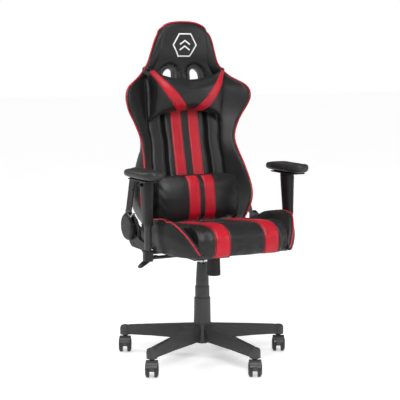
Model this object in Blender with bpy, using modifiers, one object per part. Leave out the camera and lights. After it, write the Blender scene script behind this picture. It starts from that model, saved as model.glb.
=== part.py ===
"""A five-star gaming chair on a gas lift, as an assembly of separate parts. Metres, +Z up, facing -Y.

Points are given from the foot of the column, the axis of the star base, and the whole chair hangs from
one empty that sets that point back from the origin, which is the middle of the chair's footprint.
The sitter's right is -X.
"""

from math import atan2, cos, pi, radians, sin

import bmesh
import bpy
from mathutils import Euler, Matrix, Vector

# ---- driving dimensions -------------------------------------------------------------------------
COLUMN_SETBACK = 0.0269  # the column stands this far behind the middle of the footprint
FIT = 0.0003  # gap between pieces that touch
RUNNING = 0.0002  # radial clearance of a shaft in its bore

LEG_COUNT = 5
FIRST_LEG = radians(63.5)
CASTER_RADIUS = 0.318  # from the column to each caster's stem
HUB_TOP, HUB_BOTTOM, HUB_RADIUS = 0.134, 0.066, 0.036

WHEEL_SIDES = 24
WHEEL_RADIUS = 0.030
WHEEL_WIDTH = 0.0135
WHEEL_GAP = 0.019  # between the two wheels of a caster
AXLE_RADIUS = 0.004
AXLE_HEIGHT = WHEEL_RADIUS * cos(pi / WHEEL_SIDES)
CASTER_TRAIL = 0.014
CASTER_HEADING = radians(-27.5)  # the casters' axles point this way
STEM_RADIUS = 0.0055

TUBE_RADIUS, TUBE_TOP = 0.0235, 0.205
ROD_RADIUS = 0.005
GAS_RADIUS, GAS_TOP = 0.014, 0.405

HOUSING_TOP = 0.427
TILT_AXIS = (0.0, -0.045, 0.415)
KNOB_AT = (0.0, -0.092, 0.338)
LEVER_AT = (-0.0585, 0.0, 0.409)

SEAT_UNDER = 0.450
SEAT_HALF = 0.190
SEAT_REAR = 0.022
BOARD_THICK = 0.0127
BOARD_UNDER = SEAT_UNDER - FIT - BOARD_THICK
ARM_X, ARM_Y = 0.2935, -0.1425
PAD_X = 0.300
SLEEVE_BOTTOM, SLEEVE_TOP = 0.554, 0.713
PAD_UNDER = 0.7185

RECLINE_AXIS = (0.0, 0.075, 0.522)
RECLINER_X = 0.262
HINGE_RADIUS = {"right": 0.040, "left": 0.022}  # the left hinge is only a pivot, without the lever's latch

# ---- scene, materials and small helpers ---------------------------------------------------------
for old in list(bpy.data.objects):
    bpy.data.objects.remove(old)

chair = bpy.data.collections.new("gaming_chair")
cutters = bpy.data.collections.new("cutters")
bpy.context.scene.collection.children.link(chair)
bpy.context.scene.collection.children.link(cutters)
cutters.hide_render = True


def material(name, colour, roughness, metallic=0.0):
    made = bpy.data.materials.new(name)
    made.use_nodes = True
    shader = made.node_tree.nodes["Principled BSDF"]
    shader.inputs["Base Color"].default_value = (*colour, 1)
    shader.inputs["Roughness"].default_value = roughness
    shader.inputs["Metallic"].default_value = metallic
    return made


NYLON = material("black_nylon", (0.055, 0.055, 0.057), 0.5)
COVER = material("cover_plastic", (0.065, 0.065, 0.067), 0.45)
STEEL = material("black_steel", (0.03, 0.03, 0.032), 0.4, 0.6)
BRIGHT = material("bright_steel", (0.6, 0.6, 0.62), 0.25, 1.0)
LEATHER = material("black_leather", (0.025, 0.026, 0.026), 0.5)
TREAD = material("wheel_plastic", (0.03, 0.03, 0.03), 0.4)
SOFT_PAD = material("pad_foam", (0.03, 0.03, 0.03), 0.6)
BOARD = material("plywood", (0.35, 0.24, 0.13), 0.7)
BAND = material("elastic", (0.02, 0.02, 0.02), 0.8)


def empty(name, at, parent=None):
    """A frame for moving pieces, with its origin on their joint's axis."""
    made = bpy.data.objects.new(name, None)
    made.empty_display_size = 0.02
    chair.objects.link(made)
    hang(made, parent, at)
    return made


def column_place(obj):
    """Where obj stands, measured from the foot of the column."""
    place = Vector()
    while obj is not None and obj is not root:
        place += obj.location
        obj = obj.parent
    return place


def hang(obj, parent, at):
    """Puts obj at a point measured from the foot of the column, as a child of parent."""
    if parent is None:
        obj.location = at
        return
    obj.parent = parent
    obj.location = Vector(at) - column_place(parent)


root = None
root = empty("chair_root", (0, COLUMN_SETBACK, 0))


def finish_mesh(name, mesh, mat, parent, at, turn=None, smooth=False):
    made = bpy.data.objects.new(name, mesh)
    is_cutter = mat is None
    (cutters if is_cutter else chair).objects.link(made)
    if is_cutter:
        made.hide_render = True
        made.display_type = "WIRE"
    else:
        mesh.materials.append(mat)
    if turn is not None:
        made.rotation_euler = turn
    hang(made, parent, at)
    if smooth:
        mesh.shade_smooth()
        mesh.set_sharp_from_angle(angle=radians(40))
    return made


def mesh_from(bm, name):
    bmesh.ops.recalc_face_normals(bm, faces=bm.faces)
    mesh = bpy.data.meshes.new(name)
    bm.to_mesh(mesh)
    bm.free()
    return mesh


def box(name, size, mat, parent, at, turn=None, round_edges=0.0):
    """A block centred on its origin."""
    bm = bmesh.new()
    bmesh.ops.create_cube(bm, size=1)
    bmesh.ops.scale(bm, vec=size, verts=bm.verts)
    if round_edges:
        bmesh.ops.bevel(
            bm, geom=bm.edges, offset=round_edges, segments=2, affect="EDGES", profile=0.5
        )
    return finish_mesh(name, mesh_from(bm, name), mat, parent, at, turn)


def bar(name, radius, start, end, mat, parent, sides=16):
    """A round bar from start to end, with its origin at start."""
    along = Vector(end) - Vector(start)
    bm = bmesh.new()
    bmesh.ops.create_cone(
        bm, cap_ends=True, segments=sides, radius1=radius, radius2=radius, depth=along.length
    )
    bmesh.ops.translate(bm, vec=(0, 0, along.length / 2), verts=bm.verts)
    turn = along.to_track_quat("Z", "Y").to_euler()
    return finish_mesh(name, mesh_from(bm, name), mat, parent, start, turn, smooth=True)


def turned(name, profile, mat, parent, at, turn=None, sides=24):
    """A turned piece: profile holds (radius, height) from the top of its outer side downwards."""
    bm = bmesh.new()
    verts = [bm.verts.new((r, 0, z)) for r, z in profile]
    closed = profile[0][0] > 0 and profile[-1][0] > 0
    for first, second in zip(verts, verts[1:]):
        bm.edges.new((first, second))
    if closed:
        bm.edges.new((verts[-1], verts[0]))
    mesh = bpy.data.meshes.new(name)
    bm.to_mesh(mesh)
    bm.free()
    made = finish_mesh(name, mesh, mat, parent, at, turn)
    screw = made.modifiers.new("turn", "SCREW")
    screw.steps = screw.render_steps = sides
    screw.use_merge_vertices = True
    screw.merge_threshold = 0.00001
    return made


def flat(name, outlines, thickness, mat, parent, at, turn=None):
    """A plate of the given closed outlines, holes included, centred on its own XY plane."""
    curve = bpy.data.curves.new(name, "CURVE")
    curve.dimensions = "2D"
    curve.fill_mode = "BOTH"
    curve.extrude = thickness / 2
    for outline in outlines:
        spline = curve.splines.new("POLY")
        spline.points.add(len(outline) - 1)
        for point, place in zip(spline.points, outline):
            point.co = (*place, 0, 1)
        spline.use_cyclic_u = True
    made = bpy.data.objects.new(name, curve)
    chair.objects.link(made)
    return curve_to_mesh(made, name, mat, parent, at, turn)


def curve_to_mesh(source, name, mat, parent, at, turn=None, smooth=False):
    """The curve's solid as a mesh with its caps welded on, so that Booleans and Bevels take it."""
    graph = bpy.context.evaluated_depsgraph_get()
    mesh = bpy.data.meshes.new_from_object(source.evaluated_get(graph))
    data = source.data
    bpy.data.objects.remove(source)
    bpy.data.curves.remove(data)
    bm = bmesh.new()
    bm.from_mesh(mesh)
    bmesh.ops.remove_doubles(bm, verts=bm.verts, dist=0.000001)
    bmesh.ops.recalc_face_normals(bm, faces=bm.faces)
    bm.to_mesh(mesh)
    bm.free()
    mesh.materials.clear()
    return finish_mesh(name, mesh, mat, parent, at, turn, smooth)


def wire(name, points, radius, mat, parent, at):
    """A bent round rod through points measured from the column's foot."""
    curve = bpy.data.curves.new(name, "CURVE")
    curve.dimensions = "3D"
    curve.bevel_depth = radius
    curve.bevel_resolution = 2
    curve.use_fill_caps = True
    spline = curve.splines.new("POLY")
    spline.points.add(len(points) - 1)
    for point, place in zip(spline.points, points):
        point.co = (*(Vector(place) - Vector(at)), 1)
    source = bpy.data.objects.new(name, curve)
    chair.objects.link(source)
    return curve_to_mesh(source, name, mat, parent, at, smooth=True)


def loft(name, rings, mat, parent, at, subdivisions=0):
    """A closed skin over rings of points measured from the column's foot, all with as many points."""
    bm = bmesh.new()
    rows = [[bm.verts.new(Vector(p) - Vector(at)) for p in ring] for ring in rings]
    count = len(rows[0])
    for lower, upper in zip(rows, rows[1:]):
        for i in range(count):
            j = (i + 1) % count
            bm.faces.new((lower[i], lower[j], upper[j], upper[i]))
    bm.faces.new(list(reversed(rows[0])))
    bm.faces.new(rows[-1])
    made = finish_mesh(name, mesh_from(bm, name), mat, parent, at, smooth=True)
    if subdivisions:
        soft = made.modifiers.new("soft", "SUBSURF")
        soft.levels = soft.render_levels = subdivisions
    return made


def combine(target, others, operation="UNION"):
    """Booleans others with target. What is added or cut away isn't a part of its own."""
    for other in others:
        if operation == "UNION":
            chair.objects.unlink(other)
            cutters.objects.link(other)
            other.hide_render = True
            other.display_type = "WIRE"
        boolean = target.modifiers.new(operation.lower(), "BOOLEAN")
        boolean.operation = operation
        boolean.solver = "EXACT"
        boolean.object = other
    return target


def cut(target, *others):
    return combine(target, others, "DIFFERENCE")


def join(target, *others):
    return combine(target, others, "UNION")


def oval(width, depth, sides=20, power=2.6, centre=(0, 0)):
    """A rounded oval outline, squarer than an ellipse."""
    points = []
    for i in range(sides):
        angle = 2 * pi * i / sides
        c, s = cos(angle), sin(angle)
        size = (abs(c) ** power + abs(s) ** power) ** (-1 / power)
        points.append((centre[0] + width / 2 * size * c, centre[1] + depth / 2 * size * s))
    return points


def circle(radius, sides=24, centre=(0, 0)):
    return [
        (centre[0] + radius * cos(2 * pi * i / sides), centre[1] + radius * sin(2 * pi * i / sides))
        for i in range(sides)
    ]


def smooth_value(table, t):
    """Reads a table of (place, value) rows with a smooth curve through them."""
    if t <= table[0][0]:
        return table[0][1]
    if t >= table[-1][0]:
        return table[-1][1]
    row = max(i for i in range(len(table) - 1) if table[i][0] <= t)

    def slope(i):
        if i in (0, len(table) - 1):
            return 0.0
        return (table[i + 1][1] - table[i - 1][1]) / (table[i + 1][0] - table[i - 1][0])

    (t0, v0), (t1, v1) = table[row], table[row + 1]
    span = t1 - t0
    u = (t - t0) / span
    return (
        v0 * (1 + 2 * u) * (1 - u) ** 2
        + v1 * u * u * (3 - 2 * u)
        + span * slope(row) * u * (1 - u) ** 2
        - span * slope(row + 1) * u * u * (1 - u)
    )


SIDEWAYS = Euler((0, pi / 2, 0))  # turns a plate's plane upright: its x axis down, its y axis along Y
SIDES = (("left", 1), ("right", -1))


def side_plate(name, outlines, thickness, mat, parent, at):
    """A plate in the YZ plane, with its outline as (y, z) from the column's foot and at[0] its middle."""
    local = [[(-(z - at[2]), y - at[1]) for y, z in outline] for outline in outlines]
    return flat(name, local, thickness, mat, parent, at, SIDEWAYS)


# ---- star base ----------------------------------------------------------------------------------
def leg_place(index, radius, height=0.0):
    angle = FIRST_LEG + index * 2 * pi / LEG_COUNT
    return Vector((radius * cos(angle), radius * sin(angle), height))


def leg_ring(index, radius, top, bottom, top_half, bottom_half, wall):
    """The section of one leg: a channel that is open underneath."""
    angle = FIRST_LEG + index * 2 * pi / LEG_COUNT
    across = Vector((-sin(angle), cos(angle), 0))
    centre = leg_place(index, radius)
    inner_top = top - 1.2 * wall
    section = (
        (-top_half, top), (top_half, top), (bottom_half, bottom), (bottom_half - wall, bottom),
        (top_half - wall, inner_top), (wall - top_half, inner_top), (wall - bottom_half, bottom),
        (-bottom_half, bottom),
    )
    return [centre + across * x + Vector((0, 0, z)) for x, z in section]


def hub_web(index):
    """The web that fills the corner between two legs, wider and further out at its foot."""
    angle = FIRST_LEG + (index + 0.5) * 2 * pi / LEG_COUNT
    out, across = Vector((cos(angle), sin(angle), 0)), Vector((-sin(angle), cos(angle), 0))
    rings = []
    sections = ((HUB_BOTTOM + 0.002, 0.0110, 0.0450), (0.100, 0.0080, 0.0405), (0.124, 0.0040, 0.0345))
    for z, half, reach in sections:
        ring = [(0.028, -half), (reach, -0.8 * half), (reach, 0.8 * half), (0.028, half)]
        rings.append([out * r + across * w + Vector((0, 0, z)) for r, w in ring])
    return loft(f"hub_web_{index}", rings, NYLON, root, (0, 0, 0))


def star_base():
    bore = TUBE_RADIUS + FIT
    hub_profile = [
        (0, HUB_TOP), (HUB_RADIUS, HUB_TOP), (0.0345, HUB_BOTTOM + 0.004), (0.0325, HUB_BOTTOM), (0, HUB_BOTTOM),
    ]
    base = turned("star_base", hub_profile, NYLON, root, (0, 0, 0), sides=30)
    for index in range(LEG_COUNT):
        rings = [
            leg_ring(index, 0.0290, 0.1310, 0.0720, 0.0145, 0.0190, 0.004),
            leg_ring(index, 0.0800, 0.1262, 0.0735, 0.0135, 0.0240, 0.004),
            leg_ring(index, 0.2000, 0.1150, 0.0740, 0.0125, 0.0225, 0.004),
            leg_ring(index, CASTER_RADIUS - 0.012, 0.1040, 0.0700, 0.0120, 0.0180, 0.004),
        ]
        leg = loft(f"leg_{index}", rings, NYLON, root, (0, 0, 0))
        tip = leg_place(index, CASTER_RADIUS)
        boss_profile = [
            (0, 0.1030), (0.0135, 0.1030), (0.0185, 0.0995), (0.0210, 0.0900), (0.0205, 0.0665), (0, 0.0665)
        ]
        boss = turned(f"boss_{index}", boss_profile, NYLON, root, tip, sides=18)
        join(base, leg, boss)
        angle = FIRST_LEG + index * 2 * pi / LEG_COUNT
        groove_at = leg_place(index, CASTER_RADIUS - 0.062, 0.1082)
        groove = box(f"groove_{index}", (0.080, 0.0045, 0.006), None, root, groove_at,
                     Euler((0, atan2(0.0935, 1.0), angle)))
        socket = bar(f"socket_{index}", STEM_RADIUS + RUNNING, tip + Vector((0, 0, 0.05)),
                     tip + Vector((0, 0, 0.0965)), None, root, sides=16)
        cut(base, groove, socket)
    for index in range(LEG_COUNT):
        join(base, hub_web(index))
    hollow = bar("hub_hollow", bore, (0, 0, HUB_BOTTOM - 0.01), (0, 0, HUB_TOP + 0.01), None, root, 30)
    cut(base, hollow)
    return base


def caster(index):
    """Hood with stem and axle on a swivel, and two wheels on the axle."""
    number = index + 1
    stem_at = leg_place(index, CASTER_RADIUS)
    swivel = empty(f"caster_{number}_swivel", stem_at, root)
    heading = Matrix.Rotation(CASTER_HEADING, 3, "Z")
    axle = heading @ Vector((1, 0, 0))
    trail = heading @ Vector((0, -1, 0)) * CASTER_TRAIL
    centre = stem_at + trail + Vector((0, 0, AXLE_HEIGHT))

    reach, under = 0.0318, -0.0045
    arc = [(reach * cos(a), reach * sin(a)) for a in (radians(4 + 21.5 * i) for i in range(9))]
    outline = [*arc, (-0.022, under), (0.022, under)]
    upright = Euler((pi / 2, 0, CASTER_HEADING + pi / 2))
    hood = flat(f"caster_{number}_hood", [outline], WHEEL_GAP - 0.0014, NYLON, swivel, centre, upright)
    outer = [(0.0330 * cos(a), 0.0330 * sin(a)) for a in (radians(38 + 17.333 * i) for i in range(7))]
    inner = [(0.0309 * cos(a), 0.0309 * sin(a)) for a in (radians(142 - 17.333 * i) for i in range(7))]
    fender = flat(f"fender_{number}", [[*outer, *inner]], 0.044, NYLON, swivel, centre, upright)
    neck = bar(f"neck_{number}", 0.0095, stem_at + Vector((0, 0, 0.048)), stem_at + Vector((0, 0, 0.0655)),
               NYLON, swivel, 14)
    stem = bar(f"stem_{number}", STEM_RADIUS, stem_at + Vector((0, 0, 0.050)),
               stem_at + Vector((0, 0, 0.095)), NYLON, swivel, 12)
    half_axle = WHEEL_GAP / 2 + WHEEL_WIDTH - 0.003
    pin = bar(f"pin_{number}", AXLE_RADIUS, centre - axle * half_axle, centre + axle * half_axle,
              NYLON, swivel, 12)
    join(hood, fender, neck, stem, pin)

    rim, width = WHEEL_RADIUS, WHEEL_WIDTH
    bore = AXLE_RADIUS + RUNNING
    profile = [
        (0, width), (0.0265, width - 0.0008), (rim, width - 0.0040), (rim, 0.0), (bore, 0.0), (bore, width - 0.0024),
        (0, width - 0.0024),
    ]
    for letter, way in (("a", 1), ("b", -1)):
        outward = axle * way
        down = Vector((0, 0, -1))
        facing = Matrix.Rotation(pi / WHEEL_SIDES, 3, outward)
        frame = Matrix((facing @ down, facing @ outward.cross(down), outward)).transposed()
        turned(f"caster_{number}_wheel_{letter}", profile, TREAD, swivel,
               centre + outward * WHEEL_GAP / 2, frame.to_euler(), WHEEL_SIDES)


# ---- column -------------------------------------------------------------------------------------
def column():
    """The gas lift in its tube, with the spindle that everything above it turns on."""
    rod_hole = ROD_RADIUS + FIT
    guide = GAS_RADIUS + FIT
    turned("gas_outer_tube", [
        (TUBE_RADIUS, TUBE_TOP), (TUBE_RADIUS, 0.058), (rod_hole, 0.058), (rod_hole, 0.062),
        (TUBE_RADIUS - 0.0018, 0.062), (TUBE_RADIUS - 0.0018, 0.180), (guide, 0.183), (guide, TUBE_TOP),
    ], STEEL, root, (0, 0, 0))
    turned("cover_lower", [
        (0.0311, 0.2355), (0.0328, HUB_TOP + FIT), (0.0290, HUB_TOP + FIT), (0.0281, 0.2355)
    ], COVER, root, (0, 0, 0))
    spindle = empty("spindle", (0, 0, 0), root)
    turned("column_clip", [
        (0.0095, 0.0577), (0.0095, 0.0555), (rod_hole, 0.0555), (rod_hole, 0.0577)
    ], BRIGHT, spindle, (0, 0, 0), sides=16)
    turned("thrust_bearing", [
        (0.0165, 0.0675), (0.0165, 0.0623), (rod_hole, 0.0623), (rod_hole, 0.0675)
    ], BRIGHT, spindle, (0, 0, 0), sides=16)
    turned("piston_rod", [
        (0, 0.200), (ROD_RADIUS, 0.200), (ROD_RADIUS, 0.0710), (0.0090, 0.0710), (0.0090, 0.0678),
        (ROD_RADIUS, 0.0678), (ROD_RADIUS, 0.0545), (0, 0.0545),
    ], BRIGHT, spindle, (0, 0, 0), sides=16)
    turned("cover_middle", [
        (0.0277, 0.2790), (0.0278, 0.1850), (0.0253, 0.1850), (0.0253, 0.2790)
    ], COVER, spindle, (0, 0, 0))
    lift = empty("lift", (0, 0, 0), spindle)
    turned("gas_cylinder", [
        (0, GAS_TOP), (0.0134, GAS_TOP), (GAS_RADIUS, 0.385), (GAS_RADIUS, 0.177), (rod_hole, 0.177),
        (rod_hole, 0.315), (0, 0.315),
    ], BRIGHT, lift, (0, 0, 0))
    turned("cover_upper", [
        (0.0200, 0.3720), (0.0208, 0.3700), (0.0250, 0.3030), (0.0250, 0.2600), (0.0238, 0.2600), (0.0238, 0.3060),
        (0.0192, 0.3700), (GAS_RADIUS + FIT, 0.3700), (GAS_RADIUS + FIT, 0.3720),
    ], COVER, lift, (0, 0, 0))
    return lift


# ---- mechanism ----------------------------------------------------------------------------------
def mechanism(lift):
    outline = [
        (-0.122, 0.405), (-0.056, 0.405), (-0.036, 0.386), (0.074, 0.386), (0.078, 0.3915),
        (-0.045, HOUSING_TOP - 0.001), (-0.060, HOUSING_TOP), (-0.118, HOUSING_TOP), (-0.126, 0.420),
    ]
    housing = side_plate("mechanism_housing", [outline], 0.104, STEEL, lift, (0, 0, 0.4))
    socket = bar("column_socket", GAS_RADIUS + FIT, (0, 0, 0.37), (0, 0, GAS_TOP + 0.0005), None, lift, 24)
    pin_hole = bar("pin_hole", AXLE_RADIUS + FIT, (-0.09, *TILT_AXIS[1:]), (0.09, *TILT_AXIS[1:]), None, lift)
    knob_hole = bar("knob_hole", 0.0063, (0, KNOB_AT[1], 0.39), (0, KNOB_AT[1], 0.4185), None, lift)
    bush_hole = bar("bush_hole", 0.0063, (-0.060, *LEVER_AT[1:]), (-0.0275, *LEVER_AT[1:]), None, lift)
    cut(housing, socket, pin_hole, knob_hole, bush_hole)
    bar("tilt_pin", AXLE_RADIUS, (-0.063, *TILT_AXIS[1:]), (0.063, *TILT_AXIS[1:]), BRIGHT, lift)

    flutes = 20
    rim = []
    for i in range(2 * flutes):
        radius = 0.0256 if i % 2 else 0.0240
        rim.append((radius * cos(pi * i / flutes), radius * sin(pi * i / flutes)))
    knob_bottom = [Vector((x, y + KNOB_AT[1], KNOB_AT[2])) for x, y in rim]
    knob_low = [Vector((x * 1.03, y * 1.03 + KNOB_AT[1], KNOB_AT[2] + 0.004)) for x, y in rim]
    knob_top = [Vector((x * 0.94, y * 0.94 + KNOB_AT[1], KNOB_AT[2] + 0.064)) for x, y in rim]
    knob = loft("tension_knob", [knob_bottom, knob_low, knob_top], NYLON, lift, KNOB_AT)
    join(knob, bar("knob_stem", 0.006, (0, KNOB_AT[1], 0.390), (0, KNOB_AT[1], 0.417), NYLON, lift))

    lever = empty("lever_hinge", LEVER_AT, lift)
    x, y, z = LEVER_AT
    bush_face = -0.052 - FIT
    bush = bar("lever_bush", 0.0065, (bush_face, y, z), (-0.0635, y, z), STEEL, lift)
    join(bush, bar("bush_spigot", 0.006, (-0.053, y, z), (-0.030, y, z), STEEL, lift))
    cut(bush, bar("bush_bore", 0.0050, (-0.0540, y, z), (-0.070, y, z), None, lift))
    rod_end = (-0.212, y, z)
    rod_points = [(-0.0545, y, z), (-0.150, y, z), rod_end]
    wire("lift_lever", rod_points, 0.0038, STEEL, lever, LEVER_AT)
    sections = (
        (-0.190, 0.000, 0.0060, 0.0070), (-0.206, -0.001, 0.0082, 0.0100), (-0.224, -0.008, 0.0098, 0.0130),
        (-0.242, -0.019, 0.0098, 0.0145), (-0.258, -0.029, 0.0080, 0.0140), (-0.266, -0.033, 0.0045, 0.0100),
    )
    rings = []
    for place, drop, half_height, half_width in sections:
        ring = oval(2 * half_width, 2 * half_height, 12)
        rings.append([Vector((place, y + w, z + drop + h)) for w, h in ring])
    handle = loft("lever_handle", rings, NYLON, lever, LEVER_AT)
    cut(handle, bar("rod_socket", 0.0042, (-0.18, y, z), (-0.2124, y, z), None, lever))


# ---- seat ---------------------------------------------------------------------------------------
def seat_profile(inset):
    """The centre cushion's side outline as (y, z), with its nose set back by inset."""
    nose = [(-0.300, 0.5505), (-0.322, 0.5480), (-0.3400, 0.5380), (-0.3515, 0.5200), (-0.3545, 0.5000),
            (-0.3500, 0.4800), (-0.3400, 0.4620), (-0.3280, SEAT_UNDER)]
    back = [(SEAT_REAR, SEAT_UNDER), (SEAT_REAR + 0.002, 0.487), (SEAT_REAR, 0.5180), (0.010, 0.5245)]
    top = [(-0.060, 0.5280), (-0.140, 0.5350), (-0.230, 0.5455)]
    return [(y + inset, z) for y, z in nose] + back + top


def seat_cushion(seat):
    rings = []
    for x, inset, lower in (
        (-SEAT_HALF, 0.030, 0.008), (-0.180, 0.014, 0.002), (-0.130, 0.003, 0.0), (0.0, 0.0, 0.0),
        (0.130, 0.003, 0.0), (0.180, 0.014, 0.002), (SEAT_HALF, 0.030, 0.008),
    ):
        ring = []
        for y, z in seat_profile(inset):
            drop = lower * (z - SEAT_UNDER) / 0.1
            ring.append(Vector((x, y, z - drop)))
        rings.append(ring)
    loft("seat_cushion", rings, LEATHER, seat, (0, -0.15, SEAT_UNDER))


def seat_bolster(seat, side, way):
    """One padded side of the seat: low at the rear, a hump beside the thigh, wrapped in at the nose."""
    stations = (  # y, crest x, crest z, bulge of the side panel, inner x, inner z
        (SEAT_REAR, 0.2500, 0.538, 0.002, 0.1915, 0.520), (-0.060, 0.2560, 0.567, 0.004, 0.1915, 0.524),
        (-0.120, 0.2590, 0.580, 0.005, 0.1915, 0.527), (-0.169, 0.2600, 0.586, 0.006, 0.1915, 0.530),
        (-0.215, 0.2580, 0.583, 0.006, 0.1915, 0.533), (-0.255, 0.2490, 0.574, 0.006, 0.1915, 0.534),
        (-0.292, 0.2290, 0.545, 0.006, 0.1915, 0.525), (-0.318, 0.2100, 0.512, 0.004, 0.1915, 0.500),
        (-0.330, 0.2000, 0.478, 0.002, 0.1915, 0.472),
    )
    rings = []
    for y, crest_x, crest_z, bulge, inner_x, inner_z in stations:
        tall = crest_z - SEAT_UNDER
        section = (
            (inner_x, SEAT_UNDER), (inner_x, inner_z),
            (0.65 * inner_x + 0.35 * crest_x, crest_z * 0.55 + inner_z * 0.45),
            (crest_x - 0.012, crest_z - 0.001), (crest_x, crest_z - 0.006),
            (crest_x + bulge, SEAT_UNDER + 0.55 * tall), (crest_x + 0.5 * bulge, SEAT_UNDER + 0.2 * tall),
            (crest_x - 0.006, SEAT_UNDER),
        )
        rings.append([Vector((way * x, y, z)) for x, z in section])
    loft(f"seat_bolster_{side}", rings, LEATHER, seat, (way * 0.22, -0.15, SEAT_UNDER))


def seat_board(seat):
    """The plywood board under the cushions: plate, arm brackets and recliner feet are bolted on it."""
    half, front, rear = 0.165, -0.255, 0.020
    box("seat_board", (2 * half, rear - front, BOARD_THICK), BOARD, seat,
        (0, (front + rear) / 2, SEAT_UNDER - FIT - BOARD_THICK / 2), round_edges=0.002)


def mechanism_plate(seat):
    plate_top = BOARD_UNDER - FIT
    plate = box("mechanism_plate", (0.200, 0.175, 0.004), STEEL, seat, (0, -0.070, plate_top - 0.002))
    for side, way in SIDES:
        ear_outline = [
            (-0.062, plate_top - 0.002), (-0.062, 0.416), (-0.055, 0.407), (-0.045, 0.4045), (-0.035, 0.407),
            (-0.028, 0.416), (-0.028, plate_top - 0.002),
        ]
        ear = side_plate(f"ear_{side}", [ear_outline], 0.004, STEEL, seat, (way * 0.0557, -0.045, 0.415))
        join(plate, ear)
    cut(plate, bar("ear_hole", AXLE_RADIUS + FIT, (-0.08, *TILT_AXIS[1:]), (0.08, *TILT_AXIS[1:]), None, seat))


def tube_outline(grow=0.0):
    return oval(0.022 + 2 * grow, 0.034 + 2 * grow, 20, centre=(0, 0))


def armrest(seat, side, way):
    x = way * ARM_X
    bar_tall = 0.0055
    low, high = BOARD_UNDER - FIT - bar_tall, 0.630
    bracket = flat(f"arm_bracket_{side}", [tube_outline(), tube_outline(-0.0025)], high - low, STEEL, seat,
                   (x, ARM_Y, (low + high) / 2))
    foot_from, foot_to = 0.142, ARM_X - 0.0095
    foot = box(f"foot_{side}", (foot_to - foot_from, 0.026, bar_tall), STEEL, seat,
               (way * (foot_from + foot_to) / 2, ARM_Y, low + bar_tall / 2 + 0.00002))
    join(bracket, foot)

    collar_low, collar_high = low - 0.006, 0.4610
    collar = flat(f"arm_collar_{side}", [oval(0.032, 0.046, 20)], collar_high - collar_low, NYLON, seat,
                  (x, ARM_Y, (collar_low + collar_high) / 2))
    well = flat(f"collar_well_{side}", [tube_outline(FIT)], 0.060, None, seat,
                (x, ARM_Y, low - FIT + 0.030))
    slot = box(f"collar_slot_{side}", (0.030, 0.0266, 0.030), None, seat,
               (way * (ARM_X - 0.0145), ARM_Y, low - FIT + 0.015))
    cut(collar, well, slot)

    slide = empty(f"arm_{side}_slide", (x, ARM_Y, SLEEVE_BOTTOM), seat)
    rings = []
    for z, width, front, rear in (
        (SLEEVE_BOTTOM, 0.0300, -0.1665, -0.1185), (0.600, 0.0310, -0.1670, -0.1130),
        (0.660, 0.0335, -0.1675, -0.1050), (SLEEVE_TOP - 0.006, 0.0360, -0.1680, -0.1010),
        (SLEEVE_TOP, 0.0350, -0.1670, -0.1020),
    ):
        middle, depth = (front + rear) / 2, rear - front
        rings.append([Vector((x + a, b, z)) for a, b in oval(width, depth, 24, 3.0, (0, middle))])
    sleeve = loft(f"arm_sleeve_{side}", rings, NYLON, slide, (x, ARM_Y, SLEEVE_BOTTOM))
    shelf = box(f"shelf_{side}", (0.060, 0.150, 0.0050), NYLON, slide, (way * PAD_X, -0.128, SLEEVE_TOP + 0.0024),
                round_edges=0.0015)
    join(sleeve, shelf)
    tunnel = flat(f"tunnel_{side}", [tube_outline(0.0005)], 0.160, None, slide, (x, ARM_Y, 0.708 - 0.080))
    tab_z = 0.6965
    window_at = (x + way * 0.0170, -0.130, tab_z + 0.0022)
    window = box(f"window_{side}", (0.018, 0.0210, 0.0125), None, slide, window_at)
    cut(sleeve, tunnel, window)
    tab = empty(f"arm_{side}_tab", (x + way * 0.017, -0.130, tab_z), slide)
    tab_at = (x + way * 0.0205, -0.130, tab_z)
    box(f"arm_tab_{side}", (0.0180, 0.0200, 0.0050), NYLON, tab, tab_at, round_edges=0.0012)

    pad_rings = []
    for y, half, low_z, high_z in (
        (-0.2460, 0.014, 0.733, 0.748), (-0.2360, 0.026, 0.7245, 0.754), (-0.2000, 0.0400, PAD_UNDER, 0.7575),
        (-0.1200, 0.0445, PAD_UNDER, 0.7575), (-0.0600, 0.0440, PAD_UNDER, 0.7570),
        (-0.0250, 0.0350, PAD_UNDER, 0.7500), (-0.0060, 0.0250, PAD_UNDER, 0.7480), (0.0030, 0.0130, 0.7270, 0.7410),
    ):
        middle = (low_z + high_z) / 2
        outline = oval(2 * half, high_z - low_z, 16, 3.2)
        pad_rings.append([Vector((way * PAD_X + a, y, middle + b)) for a, b in outline])
    loft(f"arm_pad_{side}", pad_rings, SOFT_PAD, slide, (way * PAD_X, -0.12, PAD_UNDER))


# ---- recliner -----------------------------------------------------------------------------------
def arc_points(centre, radius, start, end, count):
    step = (end - start) / (count - 1)
    return [
        (centre[0] + radius * cos(radians(start + step * i)), centre[1] + radius * sin(radians(start + step * i)))
        for i in range(count)
    ]


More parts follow.
